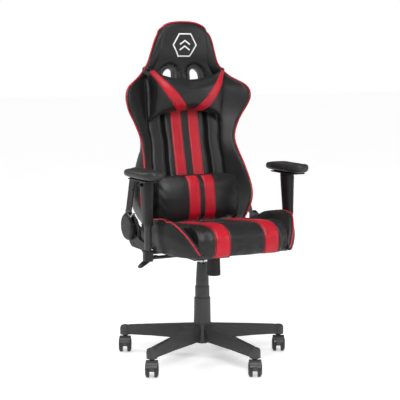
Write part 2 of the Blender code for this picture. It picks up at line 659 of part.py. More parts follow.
def recliner(seat, recline, side, way):
    hinge = RECLINE_AXIS[1:]
    thick = 0.004
    plate_x = way * (RECLINER_X + thick / 2)
    foot_z = 0.4375
    # The foot stays in front of the lift lever, which swings up behind it when the seat is tilted.
    outline = [(-0.100, foot_z), (-0.030, foot_z), (-0.020, 0.448), (0.045, 0.448), (0.090, 0.470),
               *arc_points(hinge, HINGE_RADIUS[side], -40, 125, 12), (0.020, 0.540), (-0.040, 0.520),
               (-0.100, 0.470)]
    plate = side_plate(f"recliner_plate_{side}", [outline], thick, STEEL, seat, (plate_x, *hinge))
    flange = box(f"flange_{side}", (RECLINER_X + 0.002 - 0.1656, 0.060, 0.005), STEEL, seat,
                 (way * (RECLINER_X + 0.002 + 0.1656) / 2, -0.064, foot_z + 0.0025 + 0.0001))
    boss = bar(f"pivot_{side}", 0.008, (plate_x, *hinge), (plate_x + way * 0.0063, *hinge), STEEL, seat)
    join(plate, flange, boss)

    arm_x = way * (RECLINER_X + thick + FIT + thick / 2)
    if side == "right":
        strip_y = 0.085
        outline = [*arc_points(hinge, 0.038, -220, 20, 20), (0.110, 0.580), (0.060, 0.580)]
    else:
        strip_y = 0.120
        outline = [*arc_points(hinge, 0.021, -290, 10, 20), (0.145, 0.560), (0.145, 0.582), (0.095, 0.582),
                   (0.095, 0.566)]
    disc = side_plate(f"back_arm_{side}", [outline], thick, STEEL, recline, (arm_x, *hinge))
    lean, tuck = radians(11), radians(12.5)
    strip_outline = [(-0.025, 0.0), (0.025, 0.0), (0.025, 0.160), (0.015, 0.171), (-0.015, 0.171), (-0.025, 0.160)]
    strip = flat(f"arm_strip_{side}", [strip_outline], thick, STEEL, recline, (arm_x, strip_y, 0.572))
    upright = Matrix.Rotation(lean, 3, Vector((-1, 0, 0))) @ Matrix.Rotation(-way * tuck, 3, "Y")
    columns = Matrix(((0, 0, 1), (1, 0, 0), (0, 1, 0)))
    strip.rotation_euler = (upright @ columns).to_euler()
    hole_ends = [(arm_x - 0.01, *hinge), (arm_x + 0.01, *hinge)]
    hub_hole = bar(f"hub_hole_{side}", 0.008 + FIT, *hole_ends, None, recline)
    join(disc, strip)
    cut(disc, hub_hole)

    cover_x = RECLINER_X + 2 * thick + 2 * FIT
    panel_thick = 0.003
    if side == "right":
        dome_y, rim = 0.063, 0.0520
        dome_profile = [(0, 0.0205), (0.040, 0.0200), (0.047, 0.0180), (0.0515, 0.0140), (rim, 0.001), (0, 0.001)]
    else:
        dome_y, rim = hinge[0], 0.0245
        dome_profile = [(0, 0.0120), (0.017, 0.0116), (0.022, 0.0098), (0.0242, 0.0070), (rim, 0.001), (0, 0.001)]
    round_top = arc_points((dome_y, 0.522), rim - 0.002, -75, 205, 16)
    panel_outline = [(-0.105, 0.4475), (0.045, 0.4475), (0.064, 0.458), *round_top, (-0.020, 0.485), (-0.100, 0.468)]
    panel = side_plate(f"recliner_cover_{side}", [panel_outline], panel_thick, NYLON, seat,
                       (way * (cover_x + panel_thick / 2), 0.0, 0.480))
    dome = turned(f"dome_{side}", dome_profile, NYLON, seat, (way * cover_x, dome_y, 0.522),
                  Euler((0, way * pi / 2, 0)), sides=36)
    join(panel, dome)
    if side == "right":
        slot = box("lever_slot", (0.0092, 0.058, 0.044), None, seat, (way * (cover_x + 0.0085), 0.035, 0.560))
        cut(panel, slot)
        lever = empty("recline_lever_hinge", RECLINE_AXIS, seat)
        lever_x = way * (cover_x + 0.0085)
        route = [(lever_x, 0.038, 0.552), (lever_x, 0.028, 0.566), (lever_x - 0.001, 0.010, 0.569),
                 (lever_x - 0.002, -0.010, 0.560), (lever_x - 0.003, -0.027, 0.541), (lever_x - 0.003, -0.038, 0.518),
                 (lever_x - 0.002, -0.044, 0.494)]
        wire("recline_lever", route, 0.0040, NYLON, lever, (lever_x, *hinge))


# ---- backrest -----------------------------------------------------------------------------------
BACK_HALF_WIDTH = (  # height, half width at the edge
    (0.508, 0.196), (0.540, 0.214), (0.600, 0.237), (0.650, 0.239), (0.740, 0.221), (0.835, 0.203), (0.900, 0.222),
    (0.960, 0.254), (1.001, 0.265), (1.040, 0.252), (1.078, 0.194), (1.122, 0.154), (1.170, 0.136), (1.219, 0.120),
    (1.250, 0.102), (1.268, 0.084), (1.285, 0.050),
)
BACK_EDGE_Y = (  # height, how far back the front edge stands
    (0.508, 0.034), (0.600, 0.032), (0.700, 0.052), (0.835, 0.112), (0.927, 0.116), (1.001, 0.096), (1.047, 0.108),
    (1.078, 0.140), (1.122, 0.156), (1.170, 0.155), (1.219, 0.152), (1.250, 0.154), (1.285, 0.172),
)
BACK_CENTRE_Y = (  # height, how far back the middle of the front stands
    (0.508, 0.075), (0.600, 0.086), (0.702, 0.108), (0.912, 0.157), (1.080, 0.172), (1.125, 0.168), (1.175, 0.150),
    (1.230, 0.146), (1.265, 0.154), (1.285, 0.176),
)
BACK_DEPTH = (  # height, thickness at the middle
    (0.508, 0.088), (0.560, 0.096), (0.650, 0.092), (1.000, 0.080), (1.045, 0.044), (1.074, 0.036), (1.110, 0.044),
    (1.170, 0.075), (1.230, 0.088), (1.265, 0.070), (1.285, 0.030),
)
BACK_REAR_INSET = (  # height, how much narrower the rear is than the front on each side
    (0.508, 0.012), (0.650, 0.012), (0.740, 0.020), (0.830, 0.036), (0.920, 0.046), (1.000, 0.052), (1.080, 0.040),
    (1.160, 0.034), (1.230, 0.026), (1.285, 0.012),
)
BACK_LOW_REAR = ((0.508, 0.150), (0.570, 0.160), (0.660, 0.146), (0.740, 0.120))  # height, least rear edge
BACK_HEIGHTS = (0.508, 0.520, 0.560, 0.630, 0.735, 0.835, 0.915, 0.985, 1.035, 1.080, 1.125, 1.180, 1.235, 1.272,
                1.2850)


def back_section(z):
    """The backrest's outline at one height, from the middle of its front round the left side and back."""
    half = smooth_value(BACK_HALF_WIDTH, z)
    edge = smooth_value(BACK_EDGE_Y, z)
    centre = smooth_value(BACK_CENTRE_Y, z)
    depth = smooth_value(BACK_DEPTH, z)
    seam = min(0.155, 0.74 * half)
    inset = smooth_value(BACK_REAR_INSET, z)
    rear_edge = max(edge + 0.060, centre + 0.55 * depth, smooth_value(BACK_LOW_REAR, z) if z < 0.74 else 0)
    right_half = [
        (seam, centre + 0.002), (seam + 0.50 * (half - seam), centre + 0.42 * (edge - centre)),
        (half - 0.010, edge - 0.002), (half, edge + 0.006), (half + 0.004 - 0.45 * inset, 0.5 * (edge + rear_edge)),
        (half - inset, rear_edge), (0.60 * half, centre + 0.94 * depth),
    ]
    left_half = [(-x, y) for x, y in reversed(right_half)]
    return [(0, centre - 0.002), *right_half, (0, centre + depth), *left_half]


def neck_opening(way, grow):
    """The outline of one neck opening, larger by grow: its upper outer corner is cut off at a slant."""
    corners = [(0.033, 1.038), (0.080, 1.038), (0.087, 1.060), (0.084, 1.092), (0.066, 1.109), (0.040, 1.109),
               (0.031, 1.098)]
    middle = (0.059, 1.074)
    outline = []
    for x, z in corners:
        away = Vector((x - middle[0], z - middle[1]))
        away *= 1 + grow / away.length
        outline.append((way * (middle[0] + away.x), -(1.074 - (middle[1] + away.y))))
    if way < 0:
        outline.reverse()
    return outline


def backrest(recline):
    rings = [[Vector((x, y, z)) for x, y in back_section(z)] for z in BACK_HEIGHTS]
    back = loft("backrest", rings, LEATHER, recline, (0, 0.12, 0.55), subdivisions=1)
    upright = Euler((pi / 2, 0, 0))
    for side, way in SIDES:
        at = (0, 0.215, 1.074)
        hole = flat(f"neck_hole_{side}", [neck_opening(way, 0.0)], 0.20, None, recline, at, upright)
        cut(back, hole)
        outlines = [neck_opening(way, -0.0005), neck_opening(way, -0.0040)]
        flat(f"neck_bezel_{side}", outlines, 0.042, NYLON, recline, (0, 0.1895, 1.074), upright)


def neck_pillow(recline):
    """A bow-tie cushion: tall at its two ends, waisted above and below in the middle."""
    rings = []
    for x, low, high, front, back in (
        (-0.160, 0.920, 1.098, 0.120, 0.132), (-0.142, 0.924, 1.092, 0.088, 0.146),
        (-0.080, 0.936, 1.074, 0.070, 0.152), (0.0, 0.944, 1.061, 0.064, 0.153), (0.080, 0.936, 1.074, 0.070, 0.152),
        (0.142, 0.924, 1.092, 0.088, 0.146), (0.160, 0.920, 1.098, 0.120, 0.132),
    ):
        middle, half = (low + high) / 2, (high - low) / 2
        depth = back - front
        shape = (
            (back - 0.12 * depth, -0.98), (front + 0.45 * depth, -1.0), (front + 0.10 * depth, -0.72), (front, -0.15),
            (front + 0.02 * depth, 0.30), (front + 0.20 * depth, 0.78), (front + 0.50 * depth, 1.0),
            (back - 0.12 * depth, 0.98), (back, 0.55), (back, -0.55),
        )
        rings.append([Vector((x, y, middle + half * t)) for y, t in shape])
    loft("neck_pillow", rings, LEATHER, recline, (0, 0.11, 1.0))


def lumbar_cushion(recline):
    rings = []
    for x, low, high, front, back in (
        (-0.172, 0.545, 0.690, 0.046, 0.0640), (-0.150, 0.531, 0.704, 0.024, 0.0710),
        (-0.080, 0.528, 0.709, 0.010, 0.0770), (0.0, 0.527, 0.710, 0.006, 0.0780),
        (0.080, 0.528, 0.709, 0.010, 0.0770), (0.150, 0.531, 0.704, 0.024, 0.0710),
        (0.172, 0.545, 0.690, 0.046, 0.0640),
    ):
        middle, half = (low + high) / 2, (high - low) / 2
        depth = back - front
        shape = (
            (back - 0.30 * depth, -0.97), (front + 0.40 * depth, -1.0), (front + 0.10 * depth, -0.75), (front, -0.20),
            (front + 0.02 * depth, 0.30), (front + 0.20 * depth, 0.78), (front + 0.50 * depth, 1.0),
            (back, 0.98), (back - 0.02 * depth, 0.50), (back - 0.12 * depth, -0.30), (back - 0.22 * depth, -0.80),
        )
        rings.append([Vector((x, y, middle + half * t)) for y, t in shape])
    loft("lumbar_cushion", rings, LEATHER, recline, (0, 0.04, 0.6))


def neck_strap(recline):
    """The elastic band that holds the neck pillow: it runs round the back of the neck."""
    z, tall, thick, gap = 1.122, 0.014, 0.0016, 0.0045
    below, above = back_section(z - tall / 2 - 0.002), back_section(z + tall / 2 + 0.004)
    section = [(low[0], max(low[1], high[1])) for low, high in zip(below, above)]
    round_back = section[4:13]
    half_neck = max(x for x, y in section)
    path = [(half_neck - 0.002, 0.142), *round_back, (-half_neck + 0.002, 0.142)]
    rows = []
    for x, y in path:
        out = Vector((x, 0.75 * (y - 0.19)))
        out.normalize()
        rows.append((x + out.x * gap, y + out.y * gap, out))
    outer = [(x + out.x * thick, y + out.y * thick) for x, y, out in rows]
    inner = [(x, y) for x, y, out in reversed(rows)]
    flat("neck_strap", [outer + inner], tall, BAND, recline, (0, 0, z))


# ---- assembly -----------------------------------------------------------------------------------
star_base()
for leg_index in range(LEG_COUNT):
    caster(leg_index)
lift_body = column()
mechanism(lift_body)
seat_body = empty("seat_tilt", TILT_AXIS, lift_body)
mechanism_plate(seat_body)
seat_board(seat_body)
seat_cushion(seat_body)
recline_body = empty("backrest_recline", RECLINE_AXIS, seat_body)
for side_name, side_way in SIDES:
    seat_bolster(seat_body, side_name, side_way)
    armrest(seat_body, side_name, side_way)
    recliner(seat_body, recline_body, side_name, side_way)
backrest(recline_body)
neck_pillow(recline_body)
lumbar_cushion(recline_body)
neck_strap(recline_body)
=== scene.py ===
"""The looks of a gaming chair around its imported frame: leather, stitching, moulded plastic and steel.

Points are measured in metres from the foot of the column, and settle() moves each finished piece to
where the frame has that point. The chair faces -Y, and the sitter's right is -X.
"""

from math import atan2, ceil, cos, pi, radians, sin, sqrt

import bmesh
import bpy
from mathutils import Matrix, Vector, noise
from mathutils.bvhtree import BVHTree


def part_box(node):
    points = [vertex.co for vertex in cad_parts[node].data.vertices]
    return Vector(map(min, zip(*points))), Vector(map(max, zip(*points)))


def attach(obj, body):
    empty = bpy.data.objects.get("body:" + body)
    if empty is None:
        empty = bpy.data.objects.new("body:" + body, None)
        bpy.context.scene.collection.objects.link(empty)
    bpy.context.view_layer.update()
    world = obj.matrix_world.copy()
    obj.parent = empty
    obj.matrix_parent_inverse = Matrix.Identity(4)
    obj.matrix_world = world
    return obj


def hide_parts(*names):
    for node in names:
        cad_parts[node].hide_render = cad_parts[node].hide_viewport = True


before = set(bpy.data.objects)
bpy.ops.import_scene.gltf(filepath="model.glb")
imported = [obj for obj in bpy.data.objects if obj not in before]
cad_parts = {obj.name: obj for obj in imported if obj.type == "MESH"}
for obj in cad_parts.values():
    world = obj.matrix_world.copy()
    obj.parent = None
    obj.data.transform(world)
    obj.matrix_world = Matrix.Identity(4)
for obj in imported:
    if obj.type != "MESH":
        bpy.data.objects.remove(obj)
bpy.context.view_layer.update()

scene = bpy.context.scene
SIDES = (("left", 1), ("right", -1))


def world_box(node):
    low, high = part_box(node)
    return low, high, (low + high) / 2


COLUMN = world_box("cover_lower")[2]
COLUMN.z = 0


def box(node):
    """(low corner, high corner, middle) of a CAD node, measured from the foot of the column."""
    low, high, middle = world_box(node)
    return low - COLUMN, high - COLUMN, middle - COLUMN


# ---- curves and tables --------------------------------------------------------------------------
def smooth_value(table, t):
    """Reads a table of (place, value) rows with a smooth curve through them."""
    if t <= table[0][0]:
        return table[0][1]
    if t >= table[-1][0]:
        return table[-1][1]
    row = max(i for i in range(len(table) - 1) if table[i][0] <= t)

    def slope(i):
        if i in (0, len(table) - 1):
            return 0.0
        return (table[i + 1][1] - table[i - 1][1]) / (table[i + 1][0] - table[i - 1][0])

    (t0, v0), (t1, v1) = table[row], table[row + 1]
    span = t1 - t0
    u = (t - t0) / span
    return (
        v0 * (1 + 2 * u) * (1 - u) ** 2
        + v1 * u * u * (3 - 2 * u)
        + span * slope(row) * u * (1 - u) ** 2
        - span * slope(row + 1) * u * u * (1 - u)
    )


def ramp(start, end, t):
    """0 before start, 1 after end, and smooth between them."""
    u = min(max((t - start) / (end - start), 0), 1)
    return u * u * (3 - 2 * u)


def mix(a, b, t):
    return a + (b - a) * t


def groove(distance, width):
    """1 in the middle of a sewn groove, falling to 0 at its edges."""
    t = min(abs(distance) / width, 1)
    return (1 - t * t) ** 2


def crown(t):
    """The swell of a padded strip from one seam, 0, to the next, 1."""
    return 1 - (2 * min(max(t, 0), 1) - 1) ** 4


def curve_through(points, step, closed=False):
    """Points about step apart on a smooth curve through the given ones."""
    points = [Vector(p) for p in points]
    count = len(points)
    result = []
    for i in range(count if closed else count - 1):
        if closed:
            p0, p1, p2, p3 = (points[(i + k) % count] for k in (-1, 0, 1, 2))
        else:
            p1, p2 = points[i], points[i + 1]
            p0 = points[i - 1] if i else p1 * 2 - p2
            p3 = points[i + 2] if i + 2 < count else p2 * 2 - p1
        pieces = max(1, ceil((p2 - p1).length / step))
        for k in range(pieces):
            t = k / pieces
            result.append(0.5 * (
                2 * p1 + (p2 - p0) * t + (2 * p0 - 5 * p1 + 4 * p2 - p3) * t * t
                + (3 * p1 - p0 - 3 * p2 + p3) * t ** 3
            ))
    if not closed:
        result.append(points[-1])
    return result


def evenly(points, step):
    """Points exactly as far apart along the line as an even division into steps gives."""
    points = [Vector(p) for p in points]
    lengths = [0.0]
    for a, b in zip(points, points[1:]):
        lengths.append(lengths[-1] + (b - a).length)
    count = max(2, round(lengths[-1] / step))
    result, row = [], 0
    for k in range(count + 1):
        target = lengths[-1] * k / count
        while row < len(points) - 2 and lengths[row + 1] < target:
            row += 1
        span = max(lengths[row + 1] - lengths[row], 1e-9)
        result.append(points[row].lerp(points[row + 1], (target - lengths[row]) / span))
    return result


# ---- materials ----------------------------------------------------------------------------------
class Finish:
    """A material with its shader and short ways to add nodes that read the piece's own coordinates."""

    def __init__(self, name, colour, roughness, **sockets):
        self.material = bpy.data.materials.new(name)
        self.material.use_nodes = True
        self.tree = self.material.node_tree
        self.shader = self.tree.nodes["Principled BSDF"]
        self.shader.inputs["Base Color"].default_value = (*colour, 1)
        self.shader.inputs["Roughness"].default_value = roughness
        for socket, value in sockets.items():
            self.shader.inputs[socket.replace("_", " ")].default_value = value
        self.colour = colour
        self.place = self.tree.nodes.new("ShaderNodeTexCoord").outputs["Object"]
        self.bump = None

    def link(self, source, target):
        self.tree.links.new(source, target)

    def node(self, kind, **values):
        made = self.tree.nodes.new(kind)
        for name, value in values.items():
            made.inputs[name.replace("_", " ")].default_value = value
        return made

    def stretched(self, scale, turn=(0, 0, 0)):
        mapping = self.node("ShaderNodeMapping", Scale=scale, Rotation=turn)
        self.link(self.place, mapping.inputs["Vector"])
        return mapping.outputs["Vector"]

    def noise(self, scale, detail=3.0, place=None):
        made = self.node("ShaderNodeTexNoise", Scale=scale, Detail=detail)
        self.link(place or self.place, made.inputs["Vector"])
        return made.outputs["Fac"]

    def cells(self, scale, feature="DISTANCE_TO_EDGE"):
        made = self.node("ShaderNodeTexVoronoi", Scale=scale)
        made.feature = feature
        self.link(self.place, made.inputs["Vector"])
        return made.outputs["Distance"]

    def spread(self, source, low, high, start=0.3, end=0.7):
        """Turns a pattern from start to end into a value from low to high."""
        made = self.node(
            "ShaderNodeMapRange", From_Min=start, From_Max=end, To_Min=low, To_Max=high
        )
        self.link(source, made.inputs["Value"])
        return made.outputs["Result"]

    def tint(self, source, dark, light, start=0.3, end=0.7):
        """Varies the colour from dark to light times the base with a pattern."""
        blend = self.tree.nodes.new("ShaderNodeMix")
        blend.data_type = "RGBA"
        for socket, share in ((blend.inputs[6], dark), (blend.inputs[7], light)):
            socket.default_value = (*(min(c * share, 1) for c in self.colour), 1)
        self.link(self.spread(source, 0, 1, start, end), blend.inputs[0])
        self.link(blend.outputs[2], self.shader.inputs["Base Color"])

    def rough(self, source, low, high, start=0.3, end=0.7):
        self.link(self.spread(source, low, high, start, end), self.shader.inputs["Roughness"])

    def relief(self, source, distance, strength=1.0):
        """Adds a bump on top of those already there."""
        made = self.node("ShaderNodeBump", Strength=strength, Distance=distance)
        self.link(source, made.inputs["Height"])
        if self.bump is not None:
            self.link(self.bump, made.inputs["Normal"])
        self.bump = made.outputs["Normal"]
        self.link(self.bump, self.shader.inputs["Normal"])


def leather(name, colour, roughness):
    """Artificial leather: fine pebbled grain, soft creases, and a satin skin that varies a little."""
    made = Finish(name, colour, roughness, Sheen_Weight=0.04, Sheen_Roughness=0.4, Specular_IOR_Level=0.42)
    patches = made.noise(11, 4)
    made.tint(patches, 0.86, 1.16)
    made.rough(made.noise(26, 3), roughness - 0.05, roughness + 0.07)
    made.relief(made.noise(38, 3), 0.0016, 0.22)
    made.relief(made.spread(made.cells(560), 0, 1, 0.0, 0.16), 0.00016, 0.45)
    made.relief(made.noise(1500, 2), 0.00006, 0.4)
    return made.material


def plastic(name, colour, roughness, grain=900, shine=0.5):
    """Moulded plastic with a spark-eroded grain and slightly worn gloss."""
    made = Finish(name, colour, roughness, Specular_IOR_Level=shine)
    made.tint(made.noise(17, 3), 0.92, 1.10)
    made.rough(made.noise(60, 4), roughness - 0.06, roughness + 0.08)
    made.relief(made.noise(grain, 2), 0.00008, 0.5)
    return made.material


def powder_coat(name, colour, roughness):
    """Painted steel with the orange peel of a baked powder."""
    made = Finish(name, colour, roughness, Coat_Weight=0.15, Coat_Roughness=0.25)
    made.tint(made.noise(23, 3), 0.9, 1.12)
    made.rough(made.noise(90, 3), roughness - 0.05, roughness + 0.06)
    made.relief(made.noise(420, 2), 0.00012, 0.5)
    return made.material


def brushed(name, colour, roughness):
    """Ground steel, brushed round its length."""
    made = Finish(name, colour, roughness, Metallic=1.0, Anisotropic=0.4)
    lines = made.noise(6, 4, made.stretched((1, 1, 260)))
    made.tint(lines, 0.86, 1.06)
    made.rough(lines, roughness - 0.06, roughness + 0.10)
    made.relief(lines, 0.00004, 0.4)
    return made.material


def plywood(name, colour):
    made = Finish(name, colour, 0.7)
    figure = made.noise(5, 6, made.stretched((22, 2.2, 60)))
    made.tint(figure, 0.62, 1.18)
    made.relief(figure, 0.0003, 0.5)
    return made.material


def webbing(name, colour):
    """Woven elastic: fine ribs across the band with the rubber threads showing as steps."""
    made = Finish(name, colour, 0.8, Sheen_Weight=0.25, Sheen_Roughness=0.5)
    made.tint(made.noise(300, 2), 0.8, 1.35)
    ribs = made.node("ShaderNodeTexWave", Scale=140)
    ribs.bands_direction = "Z"
    made.link(made.place, ribs.inputs["Vector"])
    made.relief(ribs.outputs["Fac"], 0.0004, 0.7)
    made.relief(made.noise(1300, 1), 0.0002, 0.5)
    return made.material


def thread(name, colour):
    """Embroidery: satin stitches laid side by side."""
    made = Finish(name, colour, 0.45, Sheen_Weight=0.3, Sheen_Roughness=0.35)
    made.tint(made.noise(120, 2), 0.92, 1.05)
    rows = made.node("ShaderNodeTexWave", Scale=380, Distortion=0.6)
    rows.bands_direction = "DIAGONAL"
    made.link(made.place, rows.inputs["Vector"])
    made.relief(rows.outputs["Fac"], 0.00025, 0.6)
    return made.material


def foam_skin(name, colour):
    """The soft moulded skin of an arm pad: matt, with a fine leather-like print."""
    made = Finish(name, colour, 0.5, Specular_IOR_Level=0.5)
    made.tint(made.noise(14, 3), 0.9, 1.14)
    made.rough(made.noise(40, 3), 0.40, 0.56)
    made.relief(made.spread(made.cells(800), 0, 1, 0.0, 0.2), 0.0001, 0.4)
    return made.material


BLACK_LEATHER = leather("leather_black", (0.0100, 0.0104, 0.0102), 0.40)
RED_LEATHER = leather("leather_red", (0.49, 0.003, 0.017), 0.40)
RED_EDGE = leather("leather_red_edge", (0.52, 0.006, 0.028), 0.36)
BLACK_THREAD = thread("black_thread", (0.03, 0.03, 0.03))
WHITE_THREAD = thread("white_thread", (0.86, 0.86, 0.86))
NYLON = plastic("nylon", (0.046, 0.046, 0.047), 0.40)
WHEEL = plastic("wheel_plastic", (0.018, 0.018, 0.018), 0.34, 500)
COVER = plastic("cover_plastic", (0.054, 0.054, 0.055), 0.44)
TRIM = plastic("black_plastic", (0.0120, 0.0120, 0.0122), 0.33, shine=0.34)
STEEL = powder_coat("black_steel", (0.020, 0.020, 0.021), 0.38)
BRIGHT = brushed("bright_steel", (0.62, 0.62, 0.63), 0.27)
PAD_SKIN = foam_skin("pad_skin", (0.020, 0.020, 0.0205))
BAND = webbing("elastic", (0.022, 0.022, 0.022))
BOARD = plywood("plywood", (0.36, 0.24, 0.13))

CAD_FINISHES = (
    ("caster_", NYLON), ("star_base", NYLON), ("cover_", COVER), ("gas_cylinder", BRIGHT), ("gas_outer", STEEL),
    ("column_clip", BRIGHT), ("thrust_bearing", STEEL), ("piston_rod", BRIGHT), ("tilt_pin", BRIGHT),
    ("mechanism_", STEEL), ("tension_knob", TRIM), ("lever_bush", STEEL), ("lift_lever", STEEL),
    ("lever_handle", TRIM), ("seat_board", BOARD), ("arm_bracket", STEEL), ("arm_collar", TRIM),
    ("arm_sleeve", TRIM), ("arm_tab", TRIM), ("recliner_plate", STEEL), ("back_arm", STEEL),
    ("recliner_cover", TRIM), ("recline_lever", TRIM),
)


def finish_cad_nodes():
    """Gives every CAD node that stays its material."""
    for name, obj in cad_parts.items():
        found = next((finish for start, finish in CAD_FINISHES if name.startswith(start)), BLACK_LEATHER)
        if "_wheel_" in name:
            found = WHEEL
        obj.data.materials.clear()
        obj.data.materials.append(found)
        obj.data.shade_smooth()
        obj.data.set_sharp_from_angle(angle=radians(32))


# ---- making pieces ------------------------------------------------------------------------------
def piece(name, verts, faces, finish, sharp=42):
    mesh = bpy.data.meshes.new(name)
    mesh.from_pydata([tuple(v) for v in verts], [], faces)
    bm = bmesh.new()
    bm.from_mesh(mesh)
    bmesh.ops.recalc_face_normals(bm, faces=bm.faces)
    bm.to_mesh(mesh)
    bm.free()
    made = bpy.data.objects.new(name, mesh)
    scene.collection.objects.link(made)
    mesh.materials.append(finish)
    smooth(made, sharp)
    return made


def smooth(obj, sharp=42):
    obj.data.shade_smooth()
    obj.data.set_sharp_from_angle(angle=radians(sharp))


def settle(obj, body, stands_for=()):
    """Puts a finished piece in its place in the frame, under the body it moves with, and hides the CAD nodes it
    stands for.
    """
    obj.data.transform(Matrix.Translation(COLUMN))
    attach(obj, body)
    if stands_for:
        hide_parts(*stands_for)
    return obj


def grid_faces(rows, columns, closed=False, offset=0):
    """Quads over rows of points, each row joined to the next."""
    faces = []
    for r in range(rows - 1):
        for c in range(columns if closed else columns - 1):
            d = (c + 1) % columns
            a = offset + r * columns
            b = a + columns
            faces.append((a + c, a + d, b + d, b + c))
    return faces


def loop_faces(rows, columns):
    """Quads over closed rows of points, with the last row joined to the first."""
    faces = []
    for r in range(rows):
        a, b = r * columns, (r + 1) % rows * columns
        for c in range(columns):
            d = (c + 1) % columns
            faces.append((a + c, a + d, b + d, b + c))
    return faces


def skin(name, rings, finish, sharp=42):
    """A closed skin over rings of points, all with as many points, with both ends capped."""
    columns = len(rings[0])
    verts = [p for ring in rings for p in ring]
    faces = grid_faces(len(rings), columns, closed=True)
    faces.append(tuple(reversed(range(columns))))
    faces.append(tuple(range(len(verts) - columns, len(verts))))
    return piece(name, verts, faces, finish, sharp)


def frames_along(points, closed=False):
    """(point, one side, other side) for each point of a line, turning as little as it can."""
    count = len(points)
    result = []
    side = None
    for i, point in enumerate(points):
        after = points[(i + 1) % count] if closed or i + 1 < count else point
        before = points[i - 1] if closed or i else point
        along = (after - before).normalized()
        if side is None:
            side = along.orthogonal().normalized()
        side = (side - along * side.dot(along)).normalized()
        result.append((point, side, along.cross(side)))
    return result


def tube(name, points, radius, finish, sides=10, closed=False, flat=1.0):
    """A round bar, or a flat one, along a line of points."""
    rings = []
    for point, side, other in frames_along(points, closed):
        ring = []
        for k in range(sides):
            angle = 2 * pi * k / sides
            ring.append(point + side * radius * cos(angle) + other * radius * flat * sin(angle))
        rings.append(ring)
    if not closed:
        return skin(name, rings, finish)
    return piece(name, [p for ring in rings for p in ring], loop_faces(len(rings), sides), finish)


def turned(name, centre, axis, across, profile, finish, sides=24, sharp=30):
    """A turned piece from a profile of (radius, height along the axis)."""
    other = axis.cross(across)
    rings = []
    for radius, height in profile:
        ring = []
        for k in range(sides):
            angle = 2 * pi * k / sides
            ring.append(centre + axis * height + (across * cos(angle) + other * sin(angle)) * radius)
        rings.append(ring)
    return skin(name, rings, finish, sharp)


def joined(name, objects):
    """Several pieces of one material as one."""
    bm = bmesh.new()
    for obj in objects:
        bm.from_mesh(obj.data)
    mesh = bpy.data.meshes.new(name)
    bm.to_mesh(mesh)
    bm.free()
    mesh.materials.append(objects[0].data.materials[0])
    for obj in objects:
        bpy.data.objects.remove(obj)
    made = bpy.data.objects.new(name, mesh)
    scene.collection.objects.link(made)
    return made


def surface_of(obj):
    """What rays and nearest points are looked up on, as the piece is now."""
    graph = bpy.context.evaluated_depsgraph_get()
    return BVHTree.FromObject(obj, graph)


def cad_surface(node):
    """The same for a CAD node, measured from the foot of the column."""
    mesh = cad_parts[node].data
    verts = [v.co - COLUMN for v in mesh.vertices]
    return BVHTree.FromPolygons(verts, [tuple(p.vertices) for p in mesh.polygons])


def dropped(surface, origin, direction):
    """(point, normal) where a ray meets the surface, or the nearest place if it misses."""
    point, normal, _, _ = surface.ray_cast(Vector(origin), Vector(direction).normalized())
    if point is None:
        point, normal, _, _ = surface.find_nearest(Vector(origin))
    if normal.dot(Vector(direction)) > 0:
        normal = -normal
    return point, normal


def strip_on(name, rows, finish, proud=0.0011, tuck=0.0012):
    """A sewn-on strip of leather over rows of (point, normal): padded in its middle, tucked in at its edges."""
    columns = len(rows[0])
    verts = []
    for row in rows:
        for c, (point, normal) in enumerate(row):
            t = c / (columns - 1)
            lift = mix(-tuck, proud, min(crown(t) * 1.6, 1))
            verts.append(point + normal * lift)
    return piece(name, verts, grid_faces(len(rows), columns), finish, 60)


def edge_tubes(name, rows, radius, finish, lift=0.0004):
    """Thin cord sewn in along both edges of a strip."""
    tubes = []
    for column in (0, -1):
        line = [row[column][0] + row[column][1] * lift for row in rows]
        tubes.append(tube(f"{name}_{column}", evenly(line, 0.004), radius, finish, 8))
    return joined(name, tubes)


def sewn_stripe(name, side, rows, body, proud=0.0016, cord=0.0011):
    """A red stripe with thin cord along both its edges."""
    settle(strip_on(f"{name}_{side}", rows, RED_LEATHER, proud), body)
    settle(edge_tubes(f"{name}_edge_{side}", rows, cord, RED_EDGE), body)


def stitches(name, lines, length=0.0040, pitch=0.0062, radius=0.00045, lift=0.0002):
    """Rows of small stitches along lines of (point, normal)."""
    verts, faces = [], []
    for line in lines:
        points = [p + n * lift for p, n in line]
        normals = [n for _, n in line]
        places = evenly(points, pitch)
        for a, b in zip(places, places[1:]):
            middle = (a + b) / 2
            along = (b - a).normalized()
            nearest = min(range(len(points)), key=lambda i: (points[i] - middle).length_squared)
            normal = normals[nearest]
            side = along.cross(normal).normalized()
            first = len(verts)
            for t, thick in ((-0.5, 0.25), (-0.3, 1.0), (0.3, 1.0), (0.5, 0.25)):
                centre = middle + along * length * t - normal * (1 - thick) * radius
                for across, up in ((-1, 0), (0, 1), (1, 0), (0, -1)):
                    verts.append(centre + (side * across + normal * up) * radius * thick)
            faces += grid_faces(4, 4, closed=True, offset=first)
    return piece(name, verts, faces, BLACK_THREAD, 70)


# ---- soft pieces --------------------------------------------------------------------------------
def remeshed(obj, voxel, rounds=4):
    """Gives obj an even mesh, with the steps of the voxels smoothed away."""
    modifier = obj.modifiers.new("even", "REMESH")
    modifier.mode = "VOXEL"
    modifier.voxel_size = voxel
    apply_modifiers(obj)
    bm = bmesh.new()
    bm.from_mesh(obj.data)
    for _ in range(rounds):
        bmesh.ops.smooth_vert(bm, verts=bm.verts, factor=0.5, use_axis_x=True, use_axis_y=True, use_axis_z=True)
    bm.to_mesh(obj.data)
    bm.free()


def apply_modifiers(obj):
    graph = bpy.context.evaluated_depsgraph_get()
    mesh = bpy.data.meshes.new_from_object(obj.evaluated_get(graph))
    old = obj.data
    obj.modifiers.clear()
    obj.data = mesh
    bpy.data.meshes.remove(old)


